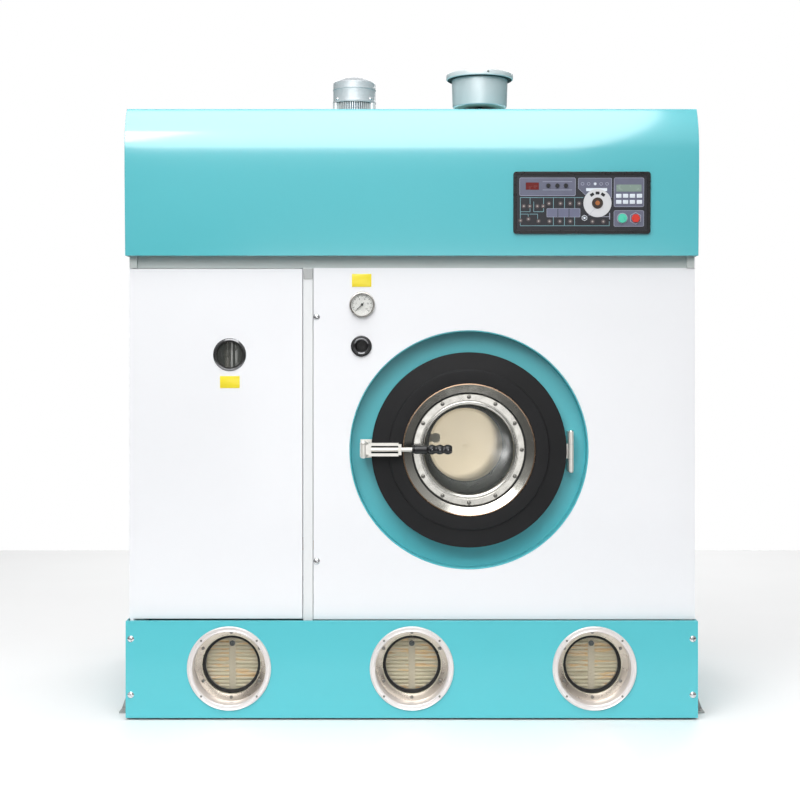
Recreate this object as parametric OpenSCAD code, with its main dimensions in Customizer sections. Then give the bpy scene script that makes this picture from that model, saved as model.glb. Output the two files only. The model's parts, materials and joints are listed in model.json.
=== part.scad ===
// Front-loading dry cleaning machine: closed cabinet, loading door with a
// clamp lever, solvent tank base, drum drive, still, filter and air circuit.
// Millimetres. +X right, +Y to the back, +Z up; origin on the floor, centred.

/* [Cabinet] */
// Width over the side panels
body_w = 1594; // [1560:1:1680]
// Depth from the white front panels to the back panel
body_d = 1050; // [1040:1:1200]
// Thickness of the cabinet sheet metal
sheet = 3; // [2:0.5:4]
// Gap between neighbouring panels
panel_gap = 2; // [1:0.5:3]
// Height of the white front panels
panel_h = 989; // [960:1:1050]
// Height of the grey rail between panels and hood
rail_h = 33; // [26:1:45]
// Side of the square frame tubes
tube = 40; // [30:1:42]
// How far the frame tubes lie behind the front panels
frame_setback = 20; // [18:1:24]
// Width of the centre post between the front panels
post_w = 27; // [20:1:34]
// Left edge of the centre post
post_x = -306; // [-320:1:-300]
// Diameter of the slotted cover screws
screw_d = 19; // [14:1:22]
// Inset of the main panel screws from the panel's left edge
panel_screw_inset = 9; // [8:1:14]
// Heights of the two main panel screws
panel_screw_z = [442, 1130];

/* [Base] */
// Height of the base cover
base_h = 277; // [270:1:300]
// How far the base cover stands out past the body on either side
base_over = 5; // [4:0.5:8]
// How far the base cover stands in front of the panels
base_proud = 20; // [16:1:30]
// Clearance of the base cover above the floor
base_lift = 6; // [5:1:10]
// Depth of the folded shelf along the cover's top edge
shelf_d = 12; // [8:1:14]
// Distance of the base screws from the cover's side edges
base_screw_inset = 14; // [12:1:20]
// Heights of the base cover screws
base_screw_z = [70, 227];
// How far a floor bracket stands out of the base
foot_out = 34; // [30:1:50]
// Height of a floor bracket
foot_h = 87; // [60:1:100]
// Width of a floor bracket along the side
foot_w = 70; // [50:1:90]
// Plate thickness of a floor bracket
foot_t = 5; // [4:1:6]
// Distance of the floor brackets in front of and behind the centre
foot_y = 430; // [380:1:450]
// Distance of an anchor hole from the base's side
anchor_dx = 20; // [16:1:22]
// Distance of an anchor hole from the bracket's outer edge
anchor_dy = 18; // [14:1:20]
// Radius of the anchor bolt holes
anchor_r = 7; // [5:0.5:8]

/* [Solvent tank] */
// Height of the solvent tank
tank_h = 222; // [215:1:230]
// Tank wall thickness
tank_wall = 4; // [3:0.5:5]
// Distance between the sight ports
port_pitch = 512; // [480:1:520]
// Height of the sight port centres
port_z = 145; // [140:1:150]
// Outer radius of the port trim ring
port_trim_r = 118; // [114:1:122]
// Inner radius of the port sleeve
port_sleeve_r = 102; // [98:1:104]
// Inner radius of the clamp ring
port_clamp_r = 82; // [80:0.5:84]
// Inner radius of the port gasket
port_gasket_r = 74; // [70:0.5:76]
// Radius of the port glass
port_glass_r = 90; // [88:0.5:94]
// Thickness of the port glass
port_glass_t = 8; // [6:0.5:10]
// Thickness of the port gasket
port_gasket_t = 4; // [3:0.5:5]
// Thickness of the clamp ring
port_clamp_t = 6; // [4:0.5:8]
// How far the trim ring stands out of the cover
port_trim_t = 6; // [4:0.5:8]
// Number of clamp ring bolts on a port
port_bolt_n = 6; // [4:1:8]

/* [Hood] */
// How far the hood stands out past the body on either side
hood_over = 5.5; // [4:0.5:8]
// Height of the hood
hood_h = 415; // [390:1:450]
// How far the hood's fullest line stands in front of the panels
hood_proud = 35; // [30:1:45]
// How far the hood's bottom edge lies behind its fullest line
hood_tuck = 10; // [6:1:14]
// Height of the leaning front face
hood_lean_h = 239; // [230:1:250]
// Height at which the front starts to curve back
hood_arc_z = 299; // [290:1:310]
// Radius of the curved front
hood_r = 200; // [180:1:240]
// Width of the seat flange inside the hood ends
hood_seat = 26; // [20:1:32]

/* [Console] */
// Width of the console bezel
console_w = 383; // [360:1:400]
// Height of the console bezel
console_h = 173; // [160:1:180]
// Centre of the console from the machine's centre
console_x = 475; // [460:1:490]
// Height of the console's lower edge on the hood
console_z = 61; // [50:1:64]
// Width of the bezel ring
bezel = 9; // [6:0.5:12]
// How far the bezel stands out of the hood
bezel_t = 6; // [5:0.5:8]
// Depth of the electronics box behind the console
console_box_d = 70; // [50:1:90]
// Thickness of the printed face panel
face_t = 3; // [2:0.5:4]
// Radius of the start and stop buttons
button_r = 12.5; // [10:0.5:14]
// Height of the button row above the console's lower edge
button_z = 43; // [38:1:46]
// Place of the start button from the console's centre
start_x = 113; // [108:1:118]
// Place of the stop button from the console's centre
stop_x = 150; // [146:1:154]
// Button travel
button_travel = 2.5; // [1.5:0.5:3]

/* [Loading door] */
// Place of the door's axis across the machine
door_x = 161; // [140:1:170]
// Drop of the door's axis below the middle of the front panels
door_drop = 17.5; // [12:0.5:24]
// Radius of the opening in the main panel
recess_r = 337; // [332:1:345]
// Depth of the recess floor behind the main panel
recess_d = 50; // [48:1:54]
// Radius of the black door disc
disc_r = 275; // [268:1:280]
// Radius of the raised step on the disc
disc_step_r = 224; // [214:1:232]
// Height of the raised step
disc_step = 6; // [4:0.5:8]
// Thickness of the disc at its rim
disc_t = 24; // [20:1:26]
// How far the disc's rim stands in front of the main panel
disc_proud = 5; // [2:1:8]
// Outer radius of the polished collar
collar_r = 188; // [180:1:192]
// Inner radius of the polished collar
collar_in_r = 162; // [160:1:166]
// Outer radius of the bolted glass ring
ring_r = 157; // [154:1:158]
// Inner radius of the bolted ring's bezel
ring_in_r = 127; // [122:1:130]
// Radius of the door glass
glass_r = 143; // [140:1:144]
// Thickness of the door glass
glass_t = 10; // [8:1:12]
// Number of bolts in the glass ring
ring_bolt_n = 12; // [8:1:16]
// Radius of the bolt circle
ring_bolt_pcd_r = 149; // [148:0.5:151]
// Inner radius of the tub's mouth
mouth_r = 208; // [204:1:212]
// Outer radius of the tub's mouth
mouth_out_r = 240; // [234:1:246]
// Free thickness of the door gasket
gasket_t = 16; // [12:1:18]

/* [Door hinge] */
// Radius of the hinge barrel
hinge_r = 7.5; // [6:0.5:9]
// Radius of the hinge pin
hinge_pin_r = 4; // [3:0.5:5]
// Clearance between the disc's rim and the barrel
hinge_gap = 5.5; // [4:0.5:8]
// Length of the whole barrel
hinge_len = 113; // [90:1:130]
// Length of the moving knuckle
knuckle_len = 41; // [30:1:50]

/* [Clamp lever] */
// Height of the lever above the door's axis
lever_dz = 3; // [0:1:6]
// Distance of the lever's pin outside the disc's rim
lever_pin_out = 21; // [19:1:26]
// How far the lever's axis stands in front of the panels
lever_proud = 36; // [34:1:42]
// Side of the lever's end block
lever_block = 28; // [24:1:30]
// Length of the lever's channel
channel_len = 84; // [70:1:95]
// Height of the lever's channel
channel_h = 37; // [32:1:38]
// Radius of the lever's rod
lever_rod_r = 6; // [5:0.5:7]
// Length of the grip
grip_len = 112; // [100:1:125]
// Largest radius of the grip
grip_r = 14; // [12:0.5:15]
// Radius of the lever's pin
lever_pin_r = 6; // [5:0.5:7]
// Radius of the pin's domed heads
lever_head_r = 10.5; // [9:0.5:12]

/* [Drum and tub] */
// Gap between the drum and the tub round it
drum_gap = 37; // [30:1:45]
// Depth of the drum
drum_d = 440; // [400:1:450]
// Drum wall thickness
drum_wall = 3; // [2:0.5:4]
// Radius of the drum's front opening
drum_mouth_r = 205; // [200:1:208]
// Depth of a lifter rib
lifter_h = 70; // [50:1:72]
// Width of a lifter rib
lifter_w = 40; // [30:1:50]
// Number of lifter ribs
lifter_n = 4; // [4:1:4]
// Radius of the beige hub cover
hub_r = 110; // [100:1:116]
// Radius of the hub cone at the drum's back
hub_back_r = 170; // [150:1:180]
// Length of the hub cone
hub_len = 250; // [200:1:260]
// Inner radius of the tub
tub_r = 380; // [376:1:384]
// Tub wall thickness
tub_wall = 4; // [3:0.5:5]
// Gap between drum and tub at either end
tub_end_gap = 20; // [16:1:26]
// Radius of the drum shaft
shaft_r = 30; // [26:1:32]
// Radius of the bearing outer rings
bearing_r = 50; // [48:1:56]
// Width of a drum bearing
bearing_w = 30; // [24:1:34]
// Radius of the bearing housing
housing_r = 66; // [64:1:70]
// Length of the bearing housing
housing_len = 190; // [180:1:200]
// Running clearance of shafts and pins, radial
run_c = 0.05; // [0.03:0.01:0.08]

/* [Drive] */
// Radius of the drum pulley
drum_pulley_r = 200; // [180:1:210]
// Radius of the motor pulley
motor_pulley_r = 50; // [45:1:60]
// Width of the belt
belt_w = 26; // [20:1:28]
// Thickness of the belt
belt_t = 6; // [5:0.5:8]
// Clearance between belt and pulleys
belt_c = 1; // [0.8:0.1:1.5]
// Width of the pulleys
pulley_w = 34; // [30:1:36]
// Drive motor place, from the drum's axis
motor_dx = -301; // [-305:1:-300]
// Drive motor height above the upper side of the middle frame
motor_lift = 80; // [78:1:86]
// Radius of the drive motor
motor_r = 72; // [64:1:75]
// Length of the drive motor
motor_len = 250; // [220:1:260]

/* [Roof] */
// Place of the fan motor across the machine
fan_x = -186; // [-200:1:-176]
// Place of the fan motor in depth
fan_y = 115; // [110:1:120]
// Radius of the fan motor's cowl
cowl_r = 70; // [66:1:74]
// Height of the fan motor's cowl
cowl_h = 78; // [70:1:90]
// Height of the fan motor from roof to cowl
fan_motor_h = 130; // [110:1:140]
// Radius of the fan housing
fan_housing_r = 200; // [190:1:205]
// Place of the filter canister across the machine
canister_x = 214; // [200:1:230]
// Place of the filter canister in depth
canister_y = -15; // [-30:1:0]
// Radius of the canister's body
canister_r = 88; // [80:1:92]
// Radius of the canister's lid rim
canister_rim_r = 105; // [100:1:110]
// Height of the canister's body
canister_h = 85; // [75:1:95]
// Radius of the canister's riser
riser_r = 56; // [50:1:60]
// Height of the canister's riser
riser_h = 99; // [85:1:105]
// Height of the canister's lid
lid_h = 24; // [20:1:28]

/* [Front instruments] */
// Place of the pressure gauge across the machine
gauge_x = -140; // [-146:1:-136]
// Distance of the pressure gauge below the panel's top edge
gauge_drop = 103; // [95:1:115]
// Radius of the gauge bezel
gauge_r = 36; // [34:0.5:40]
// How far the gauge stands out of the panel
gauge_proud = 12; // [8:1:16]
// Place of the sample socket across the machine
socket_x = -142; // [-148:1:-138]
// Distance of the sample socket below the panel's top edge
socket_drop = 220; // [205:1:225]
// Radius of the sample socket's flange
socket_r = 29.5; // [28:0.5:32]
// Radius of the sample socket's bore
socket_bore_r = 15; // [12:0.5:17]
// Place of the separator's sight ring across the machine
sight_x = -513; // [-520:1:-500]
// Distance of the separator's sight ring below the panel's top edge
sight_drop = 244; // [238:1:260]
// Outer radius of the sight ring
sight_r = 46.5; // [44:0.5:48]
// Inner radius of the sight ring
sight_in_r = 36; // [32:0.5:38]

/* [Plant] */
// Radius of the still
still_r = 135; // [120:1:138]
// Height of the still's shell
still_h = 440; // [400:1:480]
// Radius of the filter vessel
filter_r = 140; // [120:1:145]
// Height of the filter vessel
filter_h = 700; // [600:1:760]
// Radius of the water separator
separator_r = 55; // [45:1:60]
// Height of the water separator
separator_h = 280; // [240:1:300]
// Radius of the compressor
compressor_r = 90; // [80:1:92]
// Height of the compressor
compressor_h = 230; // [200:1:260]
// Radius of the process pipes
pipe_r = 14; // [12:0.5:16]
// Wall thickness of the air duct
duct_wall = 3; // [2:0.5:4]
// Radius of a rear service stub
stub_r = 13.25; // [12:0.25:15]
// Length of a rear service stub outside the back panel
stub_len = 50; // [40:1:60]
// Radius of the cable gland's bore
gland_bore_r = 9; // [8:0.5:11]

/* [Hidden] */
$fn = 96;

seat_c = 0.3;      // gap left between pieces that only rest on each other
cut = 5;           // overrun of a cutting solid
screw_shank_r = 3;

// Cabinet planes
front_y = -body_d / 2;
back_y = body_d / 2;
side_x = body_w / 2;
side_in_x = side_x - sheet;
panel_z0 = base_h + panel_gap;
panel_z1 = panel_z0 + panel_h;
door_z = panel_z0 + panel_h / 2 - door_drop;
hood_w = body_w + 2 * hood_over;
base_w = body_w + 2 * base_over;
gauge_z = panel_z1 - gauge_drop;
socket_z = panel_z1 - socket_drop;
sight_z = panel_z1 - sight_drop;
hood_z = panel_z1 + rail_h;
roof_z = hood_z + hood_h;
panel_back_y = front_y + sheet;
tube_y0 = front_y + frame_setback;
tube_y1 = tube_y0 + tube;
rear_y1 = back_y - sheet;
rear_y0 = rear_y1 - tube;
post_x0 = side_in_x - tube;
post_x1 = post_x + post_w;

// Base
cover_y = front_y - base_proud;
cover_in_x = base_w / 2 - sheet;
tank_z0 = tube;
tank_z1 = tube + tank_h;
mid_z1 = tank_z1 + tube;
tank_x = post_x0 - 4;
trim_y = cover_y - port_trim_t;
tank_y0 = tube_y0 + 33;
tank_y1 = rear_y0 - 37;
port_gasket_y = tank_y0 - port_glass_t - port_gasket_t;
port_clamp_y = port_gasket_y - port_clamp_t;
port_sleeve_out_r = port_sleeve_r + sheet;
port_bolt_r = (port_sleeve_r + port_clamp_r) / 2;

// Door stack, front to back
recess_y = front_y + recess_d;
disc_y = front_y - disc_proud;
disc_back_y = disc_y + disc_t;
step_y = disc_y - disc_step;
collar_y = step_y + 2;
ring_y = disc_y + 8;
ring_back_y = ring_y + 7;
glass_y = ring_back_y + 1;
glass_back_y = glass_y + glass_t;
mouth_y = disc_back_y + seat_c + gasket_t;
tub_y0 = recess_y + 11;
drum_r = tub_r - drum_gap - drum_wall;
drum_y0 = tub_y0 + tub_wall + tub_end_gap;
drum_y1 = drum_y0 + drum_d;
tub_y1 = drum_y1 + tub_end_gap;
tub_back_y = tub_y1 + tub_wall;
hub_y = drum_y1 - drum_wall - hub_len;
rear_post_y0 = tub_back_y + 8;
rear_post_y1 = rear_post_y0 + tube;
upright_dx = 200;
cradle_y0 = drum_y0 + 20;
cradle_y1 = cradle_y0 + tube;

// Door hinge
hinge_x = door_x + disc_r + hinge_gap + hinge_r;
hinge_y = disc_y + hinge_r + 1.5;
knuckle_gap = 1;

// Clamp lever
lever_x = door_x - disc_r - lever_pin_out;
lever_y = front_y - lever_proud;
lever_z = door_z + lever_dz;
rod_x0 = lever_x + lever_block / 2 + channel_len;
grip_x0 = rod_x0 + 38;

// Drive
housing_y0 = tub_back_y + 5;
housing_y1 = housing_y0 + housing_len;
pulley_y0 = housing_y1 + 20;
pulley_y1 = pulley_y0 + pulley_w;
belt_y = (pulley_y0 + pulley_y1) / 2;
motor_x = door_x + motor_dx;
motor_z = mid_z1 + motor_lift;
motor_y1 = housing_y1 - 10;
motor_y0 = motor_y1 - motor_len;

// Hood front: leaning face, straight band, then an arc up to the roof
hood_y = front_y - hood_proud;
hood_foot_y = hood_y + hood_tuck;
lean = atan(hood_tuck / hood_lean_h);
arc_cz = hood_z + hood_arc_z;
console_y0 = -bezel_t - run_c;
button_stem_r = button_r - 4;

// Roof
fan_shaft_r = 10;
fan_z1 = roof_z - 26;
fan_z0 = fan_z1 - 190;
duct_z0 = hood_z;
duct_z1 = fan_z0;
cowl_z0 = roof_z + fan_motor_h;

// Plant in the left bay
bay_x = -side_x + 257;
still_y = tank_y1 - still_r - 8;
filter_y = -120;
separator_y = (cradle_y0 + cradle_y1) / 2;

steel = "#b9bcbd";
teal = "#69cbd4";
white = "#f3f5f6";
black = "#2b2c2d";
grey = "#8f9898";

// ---- Helpers ----

module block(x, y, z)
    translate([x[0], y[0], z[0]]) cube([x[1] - x[0], y[1] - y[0], z[1] - z[0]]);

// Children turned so that their +Z runs towards the back, from the point given
module face_back(x, y, z)
    translate([x, y, z]) rotate([-90, 0, 0]) children();

module rod_y(x, z, y, r)
    face_back(x, y[0], z) cylinder(r = r, h = y[1] - y[0]);

module rod_z(x, y, z, r)
    translate([x, y, z[0]]) cylinder(r = r, h = z[1] - z[0]);

module rod_x(y, z, x, r)
    translate([x[0], y, z]) rotate([0, 90, 0]) cylinder(r = r, h = x[1] - x[0]);

module ring_y_axis(x, z, y, r_in, r_out)
    difference() {
        rod_y(x, z, y, r_out);
        rod_y(x, z, [y[0] - cut, y[1] + cut], r_in);
    }

// A turned solid about an axis along Y: outline points are [radius, y]
module turned_y(x, z, outline)
    face_back(x, 0, z) rotate_extrude() polygon(outline);

// A turned solid about a vertical axis: outline points are [radius, z]
module turned_z(x, y, outline)
    translate([x, y, 0]) rotate_extrude() polygon(outline);

module rounded_plate(w, h, t, r) {
    translate([-w / 2 + r, 0, 0]) cube([w - 2 * r, t, h]);
    translate([-w / 2, 0, r]) cube([w, t, h - 2 * r]);
    for (sx = [-1, 1], z = [r, h - r])
        translate([sx * (w / 2 - r), 0, z]) rotate([-90, 0, 0]) cylinder(r = r, h = t);
}

// A slotted screw with a domed head, its shank along +Y
module slotted_screw(x, y, z, turn = 30)
    face_back(x, y, z) rotate([0, 0, turn])
        difference() {
            union() {
                translate([0, 0, -4])
                    rotate_extrude()
                        polygon([[0, 0], [screw_d * 0.22, 0.4], [screw_d * 0.38, 1.6],
                                 [screw_d / 2, 4], [0, 4]]);
                cylinder(r = screw_shank_r, h = sheet);
            }
            translate([-screw_d, -1, -cut]) cube([2 * screw_d, 2, cut - 1.6]);
        }

module hex_bolt_y(x, y, z, r, t)
    face_back(x, y, z) cylinder(r = r, h = t, $fn = 6);

module on_hood()
    translate([0, hood_foot_y, hood_z]) rotate([lean, 0, 0]) children();

// ---- Frame ----

module frame_posts() color(grey) {
    for (sx = [-1, 1]) {
        x = sx > 0 ? [post_x0, side_in_x] : [-side_in_x, -post_x0];
        block(x, [tube_y0, tube_y1], [tube, hood_z]);
        block(x, [rear_y0, rear_y1], [tube, hood_z]);
    }
    block([post_x, post_x1], [panel_back_y, tube_y0], [tube, panel_z1]);
    for (sx = [-1, 1]) {
        x = door_x + sx * upright_dx;
        block([x - tube / 2, x + tube / 2], [rear_post_y0, rear_post_y1], [mid_z1, hood_z - tube]);
    }
}

pivot_x = -side_x + 9;
pivot_y = front_y + 4;
pivot_r = 4;

module frame_rails() color(grey) {
    for (sx = [-1, 1]) {
        sill_x = sx > 0 ? [post_x0, cover_in_x] : [-cover_in_x, -post_x0];
        rail_x = sx > 0 ? [post_x0, side_in_x] : [-side_in_x, -post_x0];
        block(sill_x, [tube_y0, rear_y1], [0, tube]);
        block(rail_x, [tube_y1, rear_y0], [tank_z1, mid_z1]);
        block(rail_x, [tube_y1, rear_y0], [hood_z - tube, hood_z]);
    }
    across = [-post_x0, post_x0];
    block(across, [tube_y0, tube_y1], [0, tube]);
    block(across, [rear_y0, rear_y1], [0, tube]);
    block([-tube / 2, tube / 2], [tube_y1, rear_y0], [0, tube]);
    block(across, [cradle_y0, cradle_y1], [tank_z1, mid_z1]);
    block(across, [rear_post_y0, rear_post_y1], [tank_z1, mid_z1]);
    block(across, [tube_y0, tube_y1], [hood_z - tube, hood_z]);
    block(across, [rear_y0, rear_y1], [hood_z - tube, hood_z]);
    block(across, [rear_post_y0, rear_post_y1], [hood_z - tube, hood_z]);
    // Lower pivot block of the service door
    difference() {
        block([-side_in_x, pivot_x + 12], [pivot_y - 8, tube_y0], [base_h - 13, base_h - 1]);
        rod_z(pivot_x, pivot_y, [base_h - 20, base_h], pivot_r + run_c);
    }
}

module foot_bracket() {
    difference() {
        cube([foot_out, foot_w, foot_t]);
        translate([anchor_dx, anchor_dy, -cut]) cylinder(r = anchor_r, h = foot_t + 2 * cut);
    }
    cube([foot_t, foot_w, foot_h]);
    translate([0, foot_w * 0.6 + foot_t, 0]) rotate([90, 0, 0])
        linear_extrude(foot_t)
            polygon([[0, 0], [foot_out, 0], [foot_out, foot_t], [foot_t, foot_h], [0, foot_h]]);
}

module foot_brackets() color("#c3c6c6")
    for (sx = [0, 1], sy = [0, 1])
        mirror([sx, 0, 0]) mirror([0, sy, 0])
            translate([base_w / 2, -foot_y - foot_w / 2, 0]) foot_bracket();

// ---- Base ----

port_xs = [-port_pitch, 0, port_pitch];

module solvent_tank() color(steel) {
    bay_w = (2 * tank_x - 4 * tank_wall) / 3;
    difference() {
        block([-tank_x, tank_x], [tank_y0, tank_y1], [tank_z0, tank_z1]);
        for (i = [0:2]) {
            x0 = -tank_x + tank_wall + i * (bay_w + tank_wall);
            block([x0, x0 + bay_w], [tank_y0 + tank_wall, tank_y1 - tank_wall],
                  [tank_z0 + tank_wall, tank_z1 - tank_wall]);
        }
        for (x = port_xs)
            rod_y(x, port_z, [tank_y0 - cut, tank_y0 + tank_wall + cut], port_gasket_r);
    }
}

module base_cover() color(teal)
    difference() {
        union() {
            block([-base_w / 2, base_w / 2], [cover_y, cover_y + sheet], [base_lift, base_h]);
            block([-base_w / 2, base_w / 2], [cover_y, cover_y + sheet + shelf_d],
                  [base_h - sheet, base_h]);
            for (sx = [-1, 1]) {
                x = sx > 0 ? [cover_in_x, base_w / 2] : [-base_w / 2, -cover_in_x];
                block(x, [cover_y, rear_y1], [base_lift, base_h]);
            }
        }
        for (x = port_xs)
            rod_y(x, port_z, [cover_y - cut, cover_y + sheet + cut], port_sleeve_out_r + seat_c);
        for (sx = [-1, 1], z = base_screw_z)
            rod_y(sx * (base_w / 2 - base_screw_inset), z, [cover_y - cut, cover_y + sheet + cut],
                  screw_shank_r + seat_c);
    }

module tank_port_flanges() color("#d5d8d8")
    for (x = port_xs)
        turned_y(x, port_z, [
            [port_sleeve_r, trim_y + 2], [port_sleeve_r + 3, trim_y], [port_trim_r - 5, trim_y],
            [port_trim_r, trim_y + 3], [port_trim_r, cover_y], [port_sleeve_out_r, cover_y],
            [port_sleeve_out_r, port_clamp_y + port_clamp_t],
            [port_clamp_r, port_clamp_y + port_clamp_t],
            [port_clamp_r, port_clamp_y], [port_sleeve_r, port_clamp_y]]);

module tank_port_gaskets() color(black)
    for (x = port_xs)
        ring_y_axis(x, port_z, [port_gasket_y, port_gasket_y + port_gasket_t],
                    port_gasket_r, port_glass_r);

module tank_port_glasses() color("#d9e2dc", 0.4)
    for (x = port_xs)
        rod_y(x, port_z, [tank_y0 - port_glass_t, tank_y0], port_glass_r);

module tank_port_bolts() color(steel)
    for (x = port_xs, i = [0:port_bolt_n - 1]) {
        a = 360 / port_bolt_n * (i + 0.5);
        hex_bolt_y(x + port_bolt_r * cos(a), port_clamp_y - 4, port_z + port_bolt_r * sin(a), 5, 4);
    }

// ---- Cabinet panels ----

module top_rail() color(grey)
    difference() {
        union() {
            block([-side_in_x, side_in_x], [front_y + 8, tube_y0], [panel_z1, hood_z]);
            for (sx = [-1, 1]) {
                x = sx > 0 ? [side_x - 24, side_in_x] : [-side_in_x, -side_x + 24];
                block(x, [pivot_y - 8, tube_y0], [panel_z1, hood_z]);
            }
        }
        rod_z(pivot_x, pivot_y, [panel_z1 - cut, panel_z1 + 12], pivot_r + run_c);
    }

main_x0 = post_x1 + panel_gap;

module main_panel() color(white)
    difference() {
        union() {
            block([main_x0, side_x], [front_y, panel_back_y], [panel_z0, panel_z1]);
            difference() {
                block([main_x0, side_x - sheet], [front_y + 1, tube_y0], [panel_z0, panel_z1]);
                block([main_x0 + sheet, side_x - 2 * sheet - tube / 2],
                      [panel_back_y, tube_y0 + cut], [panel_z0 + sheet, panel_z1 - sheet]);
            }
        }
        rod_y(door_x, door_z, [front_y - cut, panel_back_y + cut], recess_r);
        rod_y(gauge_x, gauge_z, [front_y - cut, panel_back_y + cut], gauge_body_r + seat_c);
        rod_y(socket_x, socket_z, [front_y - cut, panel_back_y + cut], socket_body_r + seat_c);
        for (z = panel_screw_z)
            rod_y(main_x0 + panel_screw_inset, z, [front_y - cut, panel_back_y + cut],
                  screw_shank_r + seat_c);
    }

module side_panels() color(white)
    for (sx = [0, 1]) mirror([sx, 0, 0])
        block([side_in_x, side_x], [sx > 0 ? tube_y0 : panel_back_y, rear_y1], [panel_z0, hood_z]);

louvre_n = 8;
louvre_w = 220;
stub_z = 360;
stub_xs = [-640, -560, -480, -400];
gland_x = -240;

module back_panel() color(white)
    difference() {
        block([-side_in_x, side_in_x], [rear_y1, back_y], [base_lift, hood_z]);
        for (bank = [-1, 1], i = [0:louvre_n - 1])
            block([bank * 560 - louvre_w / 2, bank * 560 + louvre_w / 2], [rear_y1 - cut, back_y + cut],
                  [900 + 24 * i, 908 + 24 * i]);
        for (x = stub_xs)
            rod_y(x, stub_z, [rear_y1 - cut, back_y + cut], stub_r + seat_c);
        rod_y(gland_x, stub_z, [rear_y1 - cut, back_y + cut], gland_r + seat_c);
    }

function hood_outline(inset) =
    let (r = hood_r - inset, a1 = asin((roof_z - inset - arc_cz) / r))
    concat([[hood_foot_y + inset, hood_z - (inset > 0 ? cut : 0)],
            [hood_y + inset, hood_z + hood_lean_h]],
           [for (i = [0:12]) let (a = a1 * i / 12)
                [hood_y + hood_r - r * cos(a), arc_cz + r * sin(a)]],
           [[back_y - inset, roof_z - inset], [back_y - inset, hood_z - (inset > 0 ? cut : 0)]]);

// The hood outline is drawn in the Y-Z plane and pushed along X
module hood_solid(w, inset)
    translate([-w / 2, 0, 0]) rotate([90, 0, 90]) linear_extrude(w) polygon(hood_outline(inset));

module hood() color(teal)
    difference() {
        union() {
            difference() {
                hood_solid(hood_w, 0);
                hood_solid(hood_w - 2 * sheet, sheet);
            }
            // Seat flanges along both ends, resting on the frame's top rails
            for (sx = [-1, 1]) {
                x = sx > 0 ? [hood_w / 2 - sheet - hood_seat, hood_w / 2 - 1]
                           : [1 - hood_w / 2, sheet + hood_seat - hood_w / 2];
                block(x, [tube_y1, rear_y0], [hood_z, hood_z + sheet]);
            }
            block([1 - hood_w / 2, hood_w / 2 - 1], [hood_foot_y + 1, tube_y1], [hood_z, hood_z + sheet]);
        }
        on_hood() translate([console_x, 0, console_z + bezel])
            translate([-console_w / 2 + bezel, -cut, 0])
                cube([console_w - 2 * bezel, 3 * cut, console_h - 2 * bezel]);
        rod_z(fan_x, fan_y, [roof_z - 2 * cut, roof_z + cut], fan_shaft_r + 6);
        rod_z(canister_x, canister_y, [roof_z - 2 * cut, roof_z + cut], riser_r - 12);
    }

module cover_screws() color(steel) {
    for (sx = [-1, 1], z = base_screw_z)
        slotted_screw(sx * (base_w / 2 - base_screw_inset), cover_y, z, 20 + z / 5);
    for (z = panel_screw_z)
        slotted_screw(main_x0 + panel_screw_inset, front_y, z, z / 9);
}

// ---- Loading mouth ----

module door_recess() color(teal)
    turned_y(door_x, door_z, [
        [recess_r - seat_c, front_y + 1], [recess_r - seat_c, panel_back_y],
        [recess_r + 13, panel_back_y],
        [recess_r + 13, panel_back_y + sheet], [recess_r - seat_c, panel_back_y + sheet],
        [recess_r - seat_c, recess_y + sheet], [mouth_out_r + seat_c, recess_y + sheet],
        [mouth_out_r + seat_c, recess_y], [recess_r - seat_c - sheet, recess_y],
        [recess_r - seat_c - sheet, front_y + 1]]);

trap_dx = [150, 310];
trap_y = [-350, -170];

module tub() color(steel) {
    out_r = tub_r + tub_wall;
    // Front plate with the neck
    turned_y(door_x, door_z, [
        [mouth_r, mouth_y], [mouth_out_r, mouth_y], [mouth_out_r, tub_y0], [out_r, tub_y0],
        [out_r, tub_y0 + tub_wall], [mouth_r, tub_y0 + tub_wall]]);
    // Back plate
    ring_y_axis(door_x, door_z, [tub_y1, tub_back_y], shaft_r + 4, out_r);
    difference() {
        union() {
            ring_y_axis(door_x, door_z, [tub_y0 + tub_wall + seat_c, tub_y1 - seat_c], tub_r, out_r);
            // Feet on the two cradle rails
            for (y = [[cradle_y0, cradle_y1], [tub_y1 - tube - 10, tub_y1 - 10]], sx = [-1, 1])
                difference() {
                    block(sx > 0 ? [door_x + 150, door_x + 210] : [door_x - 210, door_x - 150], y,
                          [y[0] == cradle_y0 ? mid_z1 : tank_z1, door_z - 200]);
                    rod_y(door_x, door_z, [y[0] - cut, y[1] + cut], tub_r + tub_wall / 2);
                }
        }
        // Outlet to the button trap, and the opening of the air duct
        block([door_x + trap_dx[0] + 30, door_x + trap_dx[1] - 30], [trap_y[0] + 40, trap_y[1] - 40],
              [door_z - tub_r - 20, door_z - tub_r / 2]);
        rod_x(duct_port_y, door_z, [door_x + tub_r - 60, door_x + tub_r + 40], duct_port_r);
    }
}

module door_gasket() color(black)
    turned_y(door_x, door_z, [
        [mouth_r + 4, mouth_y], [mouth_r + 8, mouth_y - gasket_t], [mouth_r + 20, mouth_y - gasket_t],
        [mouth_r + 26, mouth_y]]);

// Knuckles along the hinge axis: fixed, moving, fixed
hinge_z = door_z - 5;
knuckle_z0 = hinge_z - hinge_len / 2;
knuckle_z1 = hinge_z - knuckle_len / 2;
knuckle_z2 = hinge_z + knuckle_len / 2;
knuckle_z3 = hinge_z + hinge_len / 2;

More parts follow.
